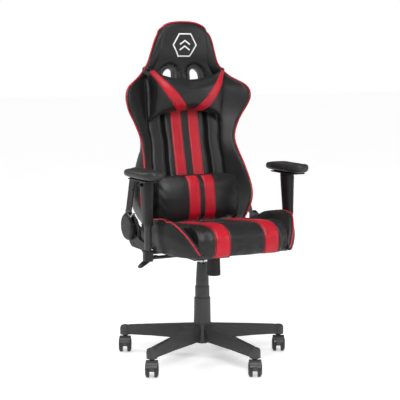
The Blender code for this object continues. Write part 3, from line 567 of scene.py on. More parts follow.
def inflated(obj, voxel, cap, pressure=4.0, pinned=None, stiffness=12.0, frames=20, sideways=1.0):
    """Swells a soft piece as stuffed cloth, and moves no point further than cap, nor further sideways than that."""
    remeshed(obj, voxel)
    start = [v.co.copy() for v in obj.data.vertices]
    cloth = obj.modifiers.new("stuffing", "CLOTH")
    cloth.settings.quality = 5
    cloth.settings.mass = 0.3
    cloth.settings.tension_stiffness = stiffness
    cloth.settings.compression_stiffness = stiffness
    cloth.settings.shear_stiffness = stiffness / 2
    cloth.settings.bending_stiffness = 0.4
    cloth.settings.use_pressure = True
    cloth.settings.uniform_pressure_force = pressure
    cloth.settings.effector_weights.gravity = 0
    cloth.point_cache.frame_start = 1
    cloth.point_cache.frame_end = frames
    if pinned is not None:
        held = obj.vertex_groups.new(name="held")
        held.add([v.index for v in obj.data.vertices if pinned(v.co)], 1.0, "REPLACE")
        cloth.settings.vertex_group_mass = "held"
    for step in range(1, frames + 1):
        scene.frame_set(step)
    apply_modifiers(obj)
    scene.frame_set(1)
    for vertex, rest in zip(obj.data.vertices, start):
        moved = vertex.co - rest
        moved *= min(1, cap / max(moved.length, 1e-9))
        across = sqrt(moved.x ** 2 + moved.z ** 2)
        share = min(1, sideways / max(across, 1e-9))
        vertex.co = rest + Vector((moved.x * share, moved.y, moved.z * share))
    obj.vertex_groups.clear()
    fine = obj.modifiers.new("fine", "SUBSURF")
    fine.levels = fine.render_levels = 1
    apply_modifiers(obj)
    return obj


def reshape(obj, move):
    """Moves every point of obj to move(point, normal)."""
    places = [move(v.co.copy(), v.normal.copy()) for v in obj.data.vertices]
    for vertex, place in zip(obj.data.vertices, places):
        vertex.co = place
    obj.data.update()


def creases(point, amount, scale):
    """Soft unevenness of a stuffed cover."""
    return amount * noise.noise(point * scale)


# ---- backrest -----------------------------------------------------------------------------------
BACK_HALF_WIDTH = (  # height, half width at the edge
    (0.508, 0.196), (0.540, 0.214), (0.600, 0.237), (0.650, 0.237), (0.740, 0.213), (0.835, 0.201), (0.900, 0.222),
    (0.960, 0.254), (1.001, 0.265), (1.040, 0.252), (1.078, 0.194), (1.122, 0.154), (1.170, 0.136), (1.219, 0.120),
    (1.250, 0.102), (1.268, 0.084), (1.285, 0.050),
)
BACK_EDGE_Y = (  # height, how far back the front edge stands
    (0.508, 0.034), (0.600, 0.030), (0.700, 0.042), (0.740, 0.054), (0.835, 0.107), (0.927, 0.116), (1.001, 0.096),
    (1.047, 0.108), (1.078, 0.140), (1.122, 0.156), (1.170, 0.155), (1.219, 0.152), (1.250, 0.154), (1.285, 0.172),
)
BACK_CENTRE_Y = (  # height, how far back the middle of the front stands
    (0.508, 0.075), (0.600, 0.086), (0.702, 0.108), (0.912, 0.157), (1.080, 0.172), (1.125, 0.168), (1.175, 0.150),
    (1.230, 0.146), (1.265, 0.154), (1.285, 0.176),
)
BACK_DEPTH = (  # height, thickness at the middle
    (0.508, 0.088), (0.560, 0.096), (0.650, 0.092), (1.000, 0.080), (1.045, 0.044), (1.074, 0.036), (1.110, 0.044),
    (1.170, 0.075), (1.230, 0.088), (1.265, 0.070), (1.285, 0.030),
)
BACK_REAR_INSET = (  # height, how much narrower the rear is than the front on each side
    (0.508, 0.012), (0.650, 0.010), (0.740, 0.012), (0.830, 0.034), (0.920, 0.046), (1.000, 0.052), (1.080, 0.040),
    (1.160, 0.034), (1.230, 0.026), (1.285, 0.012),
)
BACK_LOW_REAR = ((0.508, 0.150), (0.570, 0.160), (0.660, 0.146), (0.740, 0.120))  # height, least rear edge
BACK_LOW, BACK_HIGH = 0.508, 1.250  # the top edge arches up from here
TOP_RISE = 0.0345
CHANNEL_X, CHANNEL_WIDE, SEAM_X = 0.093, 0.0120, 0.155
CHANNEL_DEEP, SEAM_DEEP, SEAM_WIDE = 0.0180, 0.0045, 0.0050
STRIP_SWELL, FLANK_SWELL, WING_SWELL = 0.0045, 0.0040, 0.0065
BACK_STRIPE = (0.0155, 0.0585)  # its inner and outer x
BACK_STRIPE_LOW, BACK_STRIPE_HIGH = 0.600, 1.030
WAIST_SEAM_Z = 0.790
REAR_SEAM = 0.60  # share of the half width
ROLL = 0.016  # how far in from the edge the cover starts to turn back
SIDE_POINTS = 7
OPENING = (  # one neck opening, x and z of its corners
    (0.033, 1.038), (0.080, 1.038), (0.087, 1.060), (0.084, 1.092), (0.066, 1.109), (0.040, 1.109), (0.031, 1.098),
)
OPENING_MIDDLE = Vector((0.059, 1.074))


def back_half(z):
    return smooth_value(BACK_HALF_WIDTH, z)


def rear_half(z):
    return back_half(z) - smooth_value(BACK_REAR_INSET, z)


def back_seam(z):
    return min(SEAM_X, 0.74 * back_half(z))


def back_channel(z):
    return min(CHANNEL_X, 0.60 * back_seam(z))


def top_rise(x, z):
    """How much higher a point of the head is because its rows arch up in the middle."""
    half = back_half(BACK_HIGH)
    across = min(abs(x) / half, 1)
    return TOP_RISE * (1 - across ** 2.6) ** 0.75 * ramp(1.17, BACK_HIGH, z)


def row_at(x, height):
    """The row of the head that passes through a true height at x."""
    low, high = BACK_LOW, BACK_HIGH
    for _ in range(24):
        middle = (low + high) / 2
        if middle + top_rise(x, middle) < height:
            low = middle
        else:
            high = middle
    return low


def opening_outline():
    """One neck opening on the left side with rounded corners."""
    corners = [Vector(corner) for corner in OPENING]
    rounded = []
    for i, corner in enumerate(corners):
        for other in (corners[i - 1], corners[(i + 1) % len(corners)]):
            reach = other - corner
            rounded.append(corner + reach * min(0.0055 / reach.length, 0.45))
    flat = [Vector((p.x, p.y, 0)) for p in rounded]
    return [Vector((p.x, p.y)) for p in curve_through(flat, 0.003, closed=True)]


OPENING_EDGE = opening_outline()


def opening_distance(x, z):
    """How far a point of the backrest is from the nearer neck opening: below 0 inside it."""
    point = Vector((abs(x), z))
    if (point - OPENING_MIDDLE).length > 0.09:
        return 0.05
    nearest = min((point - edge).length for edge in OPENING_EDGE)
    inside = False
    for a, b in zip(OPENING_EDGE, OPENING_EDGE[1:] + OPENING_EDGE[:1]):
        if (a.y > point.y) != (b.y > point.y):
            if point.x < a.x + (point.y - a.y) * (b.x - a.x) / (b.y - a.y):
                inside = not inside
    return -nearest if inside else nearest


def roll_back(distance, reach, deep):
    """How far the cover has turned back at a distance from its edge."""
    if distance >= reach:
        return 0.0
    t = 1 - max(distance, 0) / reach
    return deep * (1 - sqrt(max(1 - t * t, 0)))


def front_y(x, z):
    """The front of the backrest: padded strips between its channels and seams, and wings that come forward."""
    side = abs(x)
    half, edge, centre = back_half(z), smooth_value(BACK_EDGE_Y, z), smooth_value(BACK_CENTRE_Y, z)
    seam, channel = back_seam(z), back_channel(z)
    body = 1 - ramp(1.015, 1.07, z)
    if side < seam:
        y = centre - 0.002 + 0.004 * (side / seam) ** 2
        if side < channel:
            y -= STRIP_SWELL * crown(0.5 + 0.5 * side / channel) * body
        else:
            y -= FLANK_SWELL * crown((side - channel) / (seam - channel)) * body
    else:
        t = (side - seam) / (half - seam)
        y = mix(centre + 0.002, edge, t ** 1.12)
        y -= WING_SWELL * crown(t) * (0.35 + 0.65 * body)
    y += CHANNEL_DEEP * groove(side - channel, CHANNEL_WIDE) * body * ramp(0.52, 0.60, z)
    y += SEAM_DEEP * groove(side - seam, SEAM_WIDE) * (1 - ramp(1.05, 1.10, z))
    y += roll_back(half - side, ROLL, 0.008)
    y += roll_back(BACK_HIGH - z, 0.020, 0.009)
    off = opening_distance(x, z)
    y += 0.0035 * groove(max(off, 0), 0.020) + 0.0065 * groove(off - 0.0125, 0.0050)
    y += 0.0011 * noise.noise(Vector((x * 13, z * 9, 4.2))) * (1 - groove(half - side, 0.02))
    return y


def rear_edge(z):
    edge, centre, depth = smooth_value(BACK_EDGE_Y, z), smooth_value(BACK_CENTRE_Y, z), smooth_value(BACK_DEPTH, z)
    low = smooth_value(BACK_LOW_REAR, z) if z < 0.74 else 0
    return max(edge + 0.060, centre + 0.55 * depth, low)


def rear_y(x, z):
    """The back of the backrest, rounded across, with two sewn seams and a waist seam."""
    half = rear_half(z)
    centre, depth = smooth_value(BACK_CENTRE_Y, z), smooth_value(BACK_DEPTH, z)
    across = min(abs(x) / half, 1)
    y = mix(centre + depth, rear_edge(z), across ** 2.6)
    y -= 0.0040 * groove(abs(x) - REAR_SEAM * half, 0.006)
    y -= 0.0035 * groove(z - WAIST_SEAM_Z, 0.006)
    y -= roll_back(BACK_HIGH - z, 0.022, 0.010)
    y -= 0.0100 * groove(max(opening_distance(x, z), 0), 0.018)
    return y + 0.0012 * noise.noise(Vector((x * 10, z * 8, 9.1)))


def columns_at(z):
    """Where the points of one row stand from the middle to the edge: close together at the seams."""
    half, seam, channel = back_half(z), back_seam(z), back_channel(z)
    stops = (
        (0, channel - CHANNEL_WIDE, 7), (channel - CHANNEL_WIDE, channel + CHANNEL_WIDE, 12),
        (channel + CHANNEL_WIDE, seam - 0.005, 5),
        (seam - 0.005, seam + 0.005, 6), (seam + 0.005, half - ROLL, 10), (half - ROLL, half, 7),
    )
    places = []
    for start, end, count in stops:
        places += [mix(start, end, k / count) for k in range(count)]
    places.append(half)
    return [-x for x in reversed(places[1:])] + places


def back_row(z):
    """One closed row of the backrest: front, left side, rear, right side."""
    half, narrow, edge = back_half(z), rear_half(z), front_y(back_half(z), z)
    swell = 0.004 * (1 - ramp(1.00, 1.10, z))
    across = columns_at(z)
    front = [Vector((x, front_y(x, z), z + top_rise(x, z))) for x in across]
    behind = []
    for x in across:
        inner = x * narrow / half
        behind.append(Vector((inner, rear_y(inner, z), z + top_rise(x, z))))
    sides = {}
    for way in (1, -1):
        sides[way] = []
        for k in range(1, SIDE_POINTS + 1):
            t = k / (SIDE_POINTS + 1)
            x = half + swell * sin(pi * t) - (half - narrow) * t ** 1.15
            y = mix(edge, rear_y(narrow, z), t)
            sides[way].append(Vector((way * x, y, z)))
    return front + sides[1] + behind[::-1] + sides[-1][::-1], len(across)


def end_cap(verts, faces, row, columns, bulge):
    """Closes one end of the rows with a grid of its own, domed by bulge."""
    front = list(range(row, row + columns))
    left_side = list(range(row + columns, row + columns + SIDE_POINTS))
    behind = list(range(row + columns + SIDE_POINTS, row + 2 * columns + SIDE_POINTS))[::-1]
    right_side = list(range(row + 2 * columns + SIDE_POINTS, row + 2 * columns + 2 * SIDE_POINTS))[::-1]
    previous = front
    for k in range(SIDE_POINTS):
        t = (k + 1) / (SIDE_POINTS + 1)
        current = [right_side[k]]
        for c in range(1, columns - 1):
            place = verts[front[c]].lerp(verts[behind[c]], t)
            across = abs(2 * c / (columns - 1) - 1)
            place.z += bulge * sin(pi * t) * (1 - across ** 4)
            current.append(len(verts))
            verts.append(place)
        current.append(left_side[k])
        for c in range(columns - 1):
            faces.append((previous[c], previous[c + 1], current[c + 1], current[c]))
        previous = current
    for c in range(columns - 1):
        faces.append((previous[c], previous[c + 1], behind[c + 1], behind[c]))


def opening_prism(way):
    """What cuts one neck opening."""
    rings = [[Vector((way * p.x, y, p.y)) for p in OPENING_EDGE] for y in (0.10, 0.32)]
    return skin("opening_cutter", rings, TRIM)


def backrest():
    step = 0.0055
    count = round((BACK_HIGH - BACK_LOW) / step)
    heights = [mix(BACK_LOW, BACK_HIGH, k / count) for k in range(count + 1)]
    verts, faces = [], []
    for z in heights:
        row, columns = back_row(z)
        verts += row
    across = len(row)
    faces += grid_faces(len(heights), across, closed=True)
    end_cap(verts, faces, 0, columns, -0.003)
    end_cap(verts, faces, (len(heights) - 1) * across, columns, 0.004)
    cover = piece("backrest_cover", verts, faces, BLACK_LEATHER, 60)
    for way in (1, -1):
        cutter = opening_prism(way)
        hole = cover.modifiers.new("opening", "BOOLEAN")
        hole.operation, hole.solver, hole.object = "DIFFERENCE", "EXACT", cutter
        apply_modifiers(cover)
        bpy.data.objects.remove(cutter)
    smooth(cover, 50)
    settle(cover, "back", ["backrest"])


def back_edge_line(inset=0.0, lift=0.0):
    """(point, normal) along the front edge of the backrest, from its foot over the head and down again."""
    line = []
    up = [mix(BACK_LOW + 0.004, BACK_HIGH, k / 130) for k in range(131)]
    for z in up:
        x = back_half(z) - inset
        line.append((Vector((-x, front_y(x, z) - lift, z + top_rise(x, z))), Vector((-0.4, -0.9, 0)).normalized()))
    top = columns_at(BACK_HIGH)
    for x in top[2:-2]:
        z = BACK_HIGH - inset
        line.append((Vector((x, front_y(x, z) - lift, z + top_rise(x, z))), Vector((0, -0.9, 0.4)).normalized()))
    for point, normal in reversed(line[:len(up)]):
        line.append((Vector((-point.x, point.y, point.z)), Vector((-normal.x, normal.y, normal.z))))
    return line


def back_trim():
    """The red piping round the backrest, its stitches, and its two stripes."""
    edge = [p for p, _ in back_edge_line(inset=-0.0012, lift=0.0028)]
    piping = tube("backrest_piping", evenly(curve_through(evenly(edge, 0.012), 0.004), 0.005), 0.0027, RED_EDGE, 12)
    settle(piping, "back")

    lines = [back_edge_line(inset=0.0085)]
    for x_of, low, high in ((back_channel, 0.70, 1.03), (back_seam, 0.56, 1.05)):
        for way in (1, -1):
            for beside in (-0.0125, 0.0125) if x_of is back_channel else (0.0062,):
                line = []
                for k in range(70):
                    z = mix(low, high, k / 69)
                    x = x_of(z) + beside
                    line.append((Vector((way * x, front_y(x, z), z)), Vector((0, -1, 0))))
                lines.append(line)
    settle(stitches("backrest_stitches", lines), "back")

    rear_lines = []
    for way in (1, -1):
        for beside in (-0.008, 0.008):
            line = []
            for k in range(110):
                z = mix(0.525, 1.235, k / 109)
                x = REAR_SEAM * rear_half(z) + beside
                line.append((Vector((way * x, rear_y(x, z), z + top_rise(x, z))), Vector((0, 1, 0))))
            rear_lines.append(line)
    for beside in (-0.008, 0.008):
        z = WAIST_SEAM_Z + beside
        half = rear_half(z) - 0.004
        line = [(Vector((x, rear_y(x, z), z)), Vector((0, 1, 0))) for x in
                (mix(-half, half, k / 60) for k in range(61))]
        rear_lines.append(line)
    settle(stitches("backrest_rear_stitches", rear_lines), "back")

    for side, way in SIDES:
        rows = []
        for k in range(90):
            z = mix(BACK_STRIPE_LOW, BACK_STRIPE_HIGH, k / 89)
            row = []
            for c in range(11):
                x = way * mix(*BACK_STRIPE, c / 10)
                slope = (front_y(x, z + 0.004) - front_y(x, z - 0.004)) / 0.008
                row.append((Vector((x, front_y(x, z), z)), Vector((0, -1, slope)).normalized()))
            rows.append(row)
        sewn_stripe("backrest_stripe", side, rows, "back")


def neck_bezels():
    """A moulded ring through each neck opening, with a flange that lies on the leather at both ends."""
    for side, way in SIDES:
        profile = (  # how far out from the opening, how far off the leather, which end
            (-0.0036, 0.0100, 0), (-0.0036, -0.0010, 0), (-0.0026, -0.0024, 0), (0.0010, -0.0022, 0),
            (0.0052, -0.0030, 0), (0.0072, -0.0042, 0), (0.0090, -0.0034, 0), (0.0092, 0.0020, 0),
            (-0.0006, 0.0030, 0), (-0.0006, -0.0030, 1), (0.0070, -0.0020, 1), (0.0074, 0.0004, 1),
            (0.0060, 0.0026, 1), (0.0000, 0.0034, 1), (-0.0034, 0.0028, 1), (-0.0040, 0.0010, 1),
        )
        rings = []
        for inner in OPENING_EDGE:
            ring = []
            away = (inner - OPENING_MIDDLE).normalized()
            for out, off, end in profile:
                place = inner + away * out
                base = rear_y(place.x, place.y) if end else front_y(place.x, place.y)
                ring.append(Vector((way * place.x, base + off, place.y)))
            rings.append(ring)
        verts = [p for ring in rings for p in ring]
        bezel = piece(f"neck_ring_{side}", verts, loop_faces(len(rings), len(profile)), COVER, 50)
        settle(bezel, "back", [f"neck_bezel_{side}"])


# ---- emblem -------------------------------------------------------------------------------------
BADGE_MIDDLE, BADGE_RADIUS, BADGE_STROKE = Vector((0.0, 1.197)), 0.0490, 0.0062
CHEVRONS, CHEVRON_HALF, CHEVRON_TALL = (0.002, -0.019), 0.0215, 0.0150


def emblem():
    """A plain embroidered badge on the head: a hexagon with two chevrons in it."""
    outline = [
        BADGE_MIDDLE + Vector((cos(pi * k / 3), sin(pi * k / 3))) * BADGE_RADIUS for k in range(7)
    ]
    lines = [outline]
    for rise in CHEVRONS:
        chevron = ((-CHEVRON_HALF, rise), (0, rise + CHEVRON_TALL), (CHEVRON_HALF, rise))
        lines.append([BADGE_MIDDLE + Vector(place) for place in chevron])
    bars = []
    for number, line in enumerate(lines):
        closed = (line[0] - line[-1]).length < 0.001
        corners = line[:-1] if closed else line
        count = len(corners)
        inner, outer = [], []
        for i, corner in enumerate(corners):
            before = corners[i - 1] if closed or i else corner * 2 - corners[1]
            after = corners[(i + 1) % count] if closed or i + 1 < count else corner * 2 - corners[i - 1]
            first, second = (corner - before).normalized(), (after - corner).normalized()
            across = Vector((-(first + second).y, (first + second).x)).normalized()
            reach = BADGE_STROKE / 2 / max(abs(across.dot(Vector((-first.y, first.x)))), 0.3)
            inner.append(corner - across * reach)
            outer.append(corner + across * reach)
        if closed:
            inner.append(inner[0])
            outer.append(outer[0])
        bars.append(emblem_bar(f"emblem_bar_{number}", inner, outer))
    settle(joined("emblem", bars), "back")


def emblem_bar(name, inner, outer):
    """A raised band of thread between two lines on the front of the head."""
    low = evenly([Vector((p.x, 0, p.y)) for p in inner], 0.0015)
    count = len(low) - 1
    lengths = [0.0]
    for a, b in zip(inner, inner[1:]):
        lengths.append(lengths[-1] + (b - a).length)
    verts = []
    for k in range(count + 1):
        target = lengths[-1] * k / count
        row = next((i for i in range(len(lengths) - 1) if lengths[i + 1] >= target - 1e-9), len(lengths) - 2)
        t = (target - lengths[row]) / (lengths[row + 1] - lengths[row])
        a, b = inner[row].lerp(inner[row + 1], t), outer[row].lerp(outer[row + 1], t)
        for c in range(7):
            place = a.lerp(b, c / 6)
            lift = mix(-0.0006, 0.0010, min(crown(c / 6) * 1.5, 1))
            verts.append(Vector((place.x, front_y(place.x, row_at(*place)) - lift, place.y)))
    return piece(name, verts, grid_faces(count + 1, 7), WHITE_THREAD, 60)


# ---- loose cushions -----------------------------------------------------------------------------
def pillow_mesh(name, ends, low_of, high_of, plane_of, front, back, fullness, waist=0.0, across=48, up=30):
    """A cushion of two skins sewn round their edge, from functions of the place on it."""
    verts, index = [], {}

    def add(key, place):
        if key not in index:
            index[key] = len(verts)
            verts.append(place)
        return index[key]

    faces = []
    for skin_side, deep in ((-1, front), (1, back)):
        grid = []
        for i in range(across + 1):
            u = sin(pi / 2 * (2 * i / across - 1))
            x = mix(*ends, (u + 1) / 2)
            row = []
            for j in range(up + 1):
                v = sin(pi / 2 * (2 * j / up - 1))
                z = mix(low_of(x), high_of(x), (v + 1) / 2)
                swell = (max(1 - abs(u) ** fullness, 0) * max(1 - abs(v) ** fullness, 0)) ** 0.5
                on_edge = i in (0, across) or j in (0, up)
                key = (i, j) if on_edge else (i, j, skin_side)
                narrowed = x * (1 - waist * (1 - v * v) * u * u)
                row.append(add(key, Vector((narrowed, plane_of(x, z) + skin_side * deep * swell, z))))
            grid.append(row)
        for i in range(across):
            for j in range(up):
                faces.append((grid[i][j], grid[i + 1][j], grid[i + 1][j + 1], grid[i][j + 1]))
    return piece(name, verts, faces, BLACK_LEATHER)


PILLOW_LOW = ((0.0, 0.947), (0.080, 0.938), (0.130, 0.923), (0.164, 0.902))
PILLOW_HIGH = ((0.0, 1.068), (0.080, 1.077), (0.130, 1.092), (0.164, 1.112))
PILLOW_PLANE = ((0.0, 0.110), (0.080, 0.112), (0.142, 0.120), (0.164, 0.129))
PILLOW_EAR = 0.164  # x of its pinched corners
PILLOW_STRIPE_LOW, PILLOW_STRIPE_HIGH = 0.944, 1.104
LUMBAR_ENDS = (-0.172, 0.182)
LUMBAR_STRIPE = (0.0105, 0.0545)
LUMBAR_REST = 0.5262  # height of the seat that it rests on
LUMBAR_LOW = ((0.0, 0.520), (0.100, 0.521), (0.150, 0.525), (0.172, 0.536))
LUMBAR_HIGH = ((0.0, 0.708), (0.100, 0.707), (0.150, 0.703), (0.172, 0.693))


def fitted_to_back(obj, gap, floor=None):
    """Presses a cushion flat where it leans on the backrest or rests on the seat."""

    def move(point, _):
        limit = front_y(point.x, point.z) - gap
        if point.y > limit:
            point.y = limit
        if floor is not None and point.z < floor:
            point.z = floor
        return point

    reshape(obj, move)


def dropped_on_cushion(surface, x, z, middle):
    """Where a stripe's point lies on the front of a cushion: nearer its middle height if it would miss."""
    for k in range(40):
        height = mix(z, middle, k / 40)
        if surface.ray_cast(Vector((x, -0.6, height)), Vector((0, 1, 0)))[0] is not None:
            break
    return dropped(surface, (x, -0.6, height), (0, 1, 0))


def stripe_rows(surface, start, end, low, high, rows=70, columns=11):
    """(point, normal) rows on the front of a cushion from x = start to x = end."""
    result = []
    for k in range(rows):
        z = mix(low, high, k / (rows - 1))
        row = []
        for c in range(columns):
            x = mix(start, end, c / (columns - 1))
            row.append(dropped_on_cushion(surface, x, z, (low + high) / 2))
        result.append(row)
    return result


def neck_pillow():
    shape = pillow_mesh(
        "neck_pillow_cover", (-PILLOW_EAR, PILLOW_EAR), lambda x: smooth_value(PILLOW_LOW, abs(x)),
        lambda x: smooth_value(PILLOW_HIGH, abs(x)),
        lambda x, z: smooth_value(PILLOW_PLANE, abs(x)) + 0.014 * (1 - ramp(0.93, 1.02, z)),
        0.040, 0.036, 2.6, waist=0.085,
    )
    inflated(shape, 0.0045, 0.012, stiffness=14, sideways=0.0015)

    def folds(point, normal):
        """Folds that run in from the four pinched corners, and the seam round the rim."""
        corner = Vector((PILLOW_EAR if point.x > 0 else -PILLOW_EAR, 0, 1.108 if point.z > 1.01 else 0.906))
        away = Vector((point.x - corner.x, 0, point.z - corner.z))
        near = 1 - ramp(0.015, 0.085, away.length)
        fan = sin(atan2(away.z, away.x) * 9.0)
        return point + normal * (0.0022 * near * fan + creases(point, 0.0012, 26))

    reshape(shape, folds)
    fitted_to_back(shape, 0.0012)
    surface = surface_of(shape)

    for side, way in SIDES:
        rows = []
        for k in range(80):
            z = mix(0.945, 1.100, k / 79)
            t = (z - PILLOW_STRIPE_LOW) / (PILLOW_STRIPE_HIGH - PILLOW_STRIPE_LOW)
            inner, outer = 0.012 + 0.138 * t ** 1.10, 0.046 + 0.118 * t ** 0.72
            row = []
            for c in range(13):
                x = way * mix(inner, outer, c / 12)
                top = smooth_value(PILLOW_HIGH, abs(x)) - 0.002
                bottom = smooth_value(PILLOW_LOW, abs(x)) + 0.003
                height = min(max(z, bottom), top)
                row.append(dropped_on_cushion(surface, x, height, (top + bottom) / 2))
            rows.append(row)
        sewn_stripe("neck_pillow_stripe", side, rows, "back")
    settle(shape, "back", ["neck_pillow"])


def lumbar_cushion():
    shape = pillow_mesh(
        "lumbar_cushion_cover", LUMBAR_ENDS, lambda x: smooth_value(LUMBAR_LOW, abs(x)),
        lambda x: smooth_value(LUMBAR_HIGH, abs(x)), lambda x, z: 0.040 + 0.35 * x * x + 0.14 * max(z - 0.62, 0),
        0.034, 0.032, 4.5,
    )
    inflated(shape, 0.0045, 0.012, stiffness=14, sideways=0.0015)

    def folds(point, normal):
        edge = max(abs(point.x) / 0.172, abs(point.z - 0.620) / 0.092)
        pucker = ramp(0.72, 1.0, edge) * sin((point.x * 1.3 + point.z) * 150) * 0.0007
        return point + normal * (pucker + creases(point, 0.0016, 17))

    reshape(shape, folds)
    fitted_to_back(shape, 0.0012, floor=LUMBAR_REST)
    surface = surface_of(shape)
    for side, way in SIDES:
        rows = stripe_rows(surface, way * LUMBAR_STRIPE[0], way * LUMBAR_STRIPE[1], 0.5300, 0.7020)
        sewn_stripe("lumbar_stripe", side, rows, "back")
    settle(shape, "back", ["lumbar_cushion"])


STRAP_Z, STRAP_TALL = 1.120, 0.013


def neck_strap():
    """The elastic band of the neck pillow, round the back of the neck."""
    half, narrow = back_half(STRAP_Z) + 0.002, rear_half(STRAP_Z)
    path = [Vector((-0.148, 0.126, 1.082)), Vector((-0.176, 0.152, 1.098)), Vector((-half, 0.172, 1.110))]
    for k in range(11):
        x = mix(-narrow - 0.002, narrow + 0.002, k / 10)
        across = min(abs(x) / narrow, 1)
        y = mix(rear_y(0, STRAP_Z), rear_edge(STRAP_Z), across ** 3) + 0.004
        path.append(Vector((x, y, STRAP_Z)))
    path += [Vector((-p.x, p.y, p.z)) for p in reversed(path[:3])]
    line = evenly(curve_through(path, 0.004), 0.005)
    section = ((-0.5, 0), (-0.44, 0.0008), (0.44, 0.0008), (0.5, 0), (0.44, -0.0008), (-0.44, -0.0008))
    rings = []
    for i, point in enumerate(line):
        after, before = line[min(i + 1, len(line) - 1)], line[max(i - 1, 0)]
        along = (after - before).normalized()
        out = along.cross(Vector((0, 0, 1))).normalized()
        up = out.cross(along).normalized()
        rings.append([point + up * STRAP_TALL * across + out * thick for across, thick in section])
    settle(skin("neck_band", rings, BAND), "back", ["neck_strap"])


# ---- seat ---------------------------------------------------------------------------------------
SEAT_HALF = 0.190
SEAT_UNDER = 0.4515
SEAT_PINNED_UNDER, SEAT_PINNED_BEHIND = 0.456, 0.016  # held there while the seat is stuffed
SEAT_LEAST_Z, SEAT_MOST_Y = 0.4502, 0.0235
SEAT_TOP = (  # how far forward of the column, height of the cushion's top
    (-0.022, 0.5235), (-0.010, 0.5245), (0.060, 0.5280), (0.140, 0.5350), (0.230, 0.5455), (0.300, 0.5505),
)
SEAT_SIDE = (  # the cushion's outline from its rear foot over the top and down the nose, y and z
    (0.021, 0.4515), (0.021, 0.487), (0.019, 0.514), (0.004, 0.5235), (-0.060, 0.5280), (-0.140, 0.5350),
    (-0.230, 0.5455), (-0.300, 0.5505), (-0.324, 0.5475), (-0.3420, 0.5370), (-0.3530, 0.5190), (-0.3560, 0.4990),
    (-0.3520, 0.4790), (-0.3420, 0.4620), (-0.3280, 0.4515),
)
STRIPE_IN, STRIPE_OUT = 0.0700, 0.1280


def pinned_to_board(point):
    return point.z < SEAT_PINNED_UNDER or point.y > SEAT_PINNED_BEHIND


def seat_shape(shrink):
    """The seat's outline, smoothed, and set in by shrink."""
    line = curve_through([Vector((0, y, z)) for y, z in SEAT_SIDE], 0.008)
    line += [Vector((0, mix(-0.328, 0.021, k / 30), SEAT_UNDER)) for k in range(1, 30)]
    result = []
    for i, point in enumerate(line):
        along = line[(i + 1) % len(line)] - line[i - 1]
        inward = Vector((0, along.z, -along.y)).normalized()
        result.append(point - inward * shrink * (0 if point.z < 0.453 else -1))
    return result


def seat_cushion():
    rings = []
    stations = [sin(pi / 2 * (k / 12 - 1)) for k in range(25)]
    for u in stations:
        x = 0.186 * u
        edge = abs(u) ** 10
        setback = 0.034 * ramp(0.66, 1.0, abs(u)) ** 1.5
        ring = []
        for point in seat_shape(0.004 + 0.010 * edge):
            nose = 1 - ramp(-0.34, -0.20, point.y)
            ring.append(Vector((x, point.y + setback * nose, point.z - 0.004 * edge)))
        rings.append(ring)
    shape = skin("seat_cushion_cover", rings, BLACK_LEATHER)
    inflated(shape, 0.0060, 0.009, pinned=pinned_to_board)

    def sew(point, normal):
        """Seams along the stripes, a dip where one sits, and the pleats under the nose."""
        side = abs(point.x)
        nose = 1 - ramp(-0.352, -0.330, point.y)
        deep = 0.0022 * (groove(side - STRIPE_IN + 0.001, 0.005) + groove(side - STRIPE_OUT - 0.001, 0.005))
        if point.z < 0.453:
            deep = 0
        pleat = 0.0014 * nose * sin(point.x * 110) * (1 - ramp(0.46, 0.50, point.z))
        swell = creases(point, 0.0013, 14) + pleat - deep
        point = point + normal * swell
        rear = ramp(-0.050, 0.0, point.y)
        top = smooth_value(SEAT_TOP, -point.y) + 0.004 * (1 - rear)
        if rear > 0:
            point.z = min(point.z, top - 0.0005)
        point.x = min(max(point.x, -SEAT_HALF), SEAT_HALF)
        point.z = max(point.z, SEAT_LEAST_Z)
        point.y = min(point.y, SEAT_MOST_Y)
        return point

    reshape(shape, sew)
    surface = surface_of(shape)
    route = curve_through([Vector((0, y, z)) for y, z in SEAT_SIDE[3:]], 0.006)
    route = [p for p in route if p.y < 0.001]
    lines = []
    for side, way in SIDES:
        rows = []
        for i, point in enumerate(route):
            after, before = route[min(i + 1, len(route) - 1)], route[max(i - 1, 0)]
            along = (after - before).normalized()
            outward = Vector((0, along.z, -along.y))
            row = []
            for c in range(11):
                x = way * mix(STRIPE_IN, STRIPE_OUT, c / 10)
                origin = Vector((x, point.y, point.z)) + outward * 0.05
                row.append(dropped(surface, origin, -outward))
            rows.append(row)
        sewn_stripe("seat_stripe", side, rows, "seat", 0.0018, 0.0012)
        for x in (STRIPE_IN - 0.006, STRIPE_OUT + 0.006):
            line = []
            for row, point in zip(rows, route):
                normal = row[0][1]
                origin = Vector((way * x, point.y, point.z)) + normal * 0.04
                line.append(dropped(surface, origin, -normal))
            lines.append(line)
    settle(stitches("seat_stitches", lines), "seat")
    settle(shape, "seat", ["seat_cushion"])


BOLSTER_STATIONS = (  # y, crest x, crest z, bulge of the side panel, inner z
    (0.022, 0.250, 0.538, 0.002, 0.516), (-0.060, 0.256, 0.567, 0.004, 0.521), (-0.120, 0.259, 0.580, 0.005, 0.524),
    (-0.169, 0.260, 0.586, 0.006, 0.527), (-0.215, 0.258, 0.583, 0.006, 0.530), (-0.255, 0.249, 0.574, 0.006, 0.532),
    (-0.292, 0.229, 0.545, 0.006, 0.524), (-0.318, 0.210, 0.512, 0.004, 0.500), (-0.336, 0.196, 0.474, 0.002, 0.468),
)
BOLSTER_PIPING = (
    (0.2520, 0.018, 0.537), (0.2580, -0.060, 0.566), (0.2620, -0.120, 0.580), (0.2630, -0.169, 0.5865),
    (0.2600, -0.215, 0.585), (0.2510, -0.250, 0.577), (0.2300, -0.292, 0.547), (0.2090, -0.322, 0.511),
    (0.1920, -0.336, 0.480), (0.1770, -0.340, 0.458),
)


def bolster_inner(ahead):
    """Where a bolster meets the cushion: it wraps in front of the cushion's corner."""
    return 0.1915 - 0.0165 * ramp(0.300, 0.326, ahead)


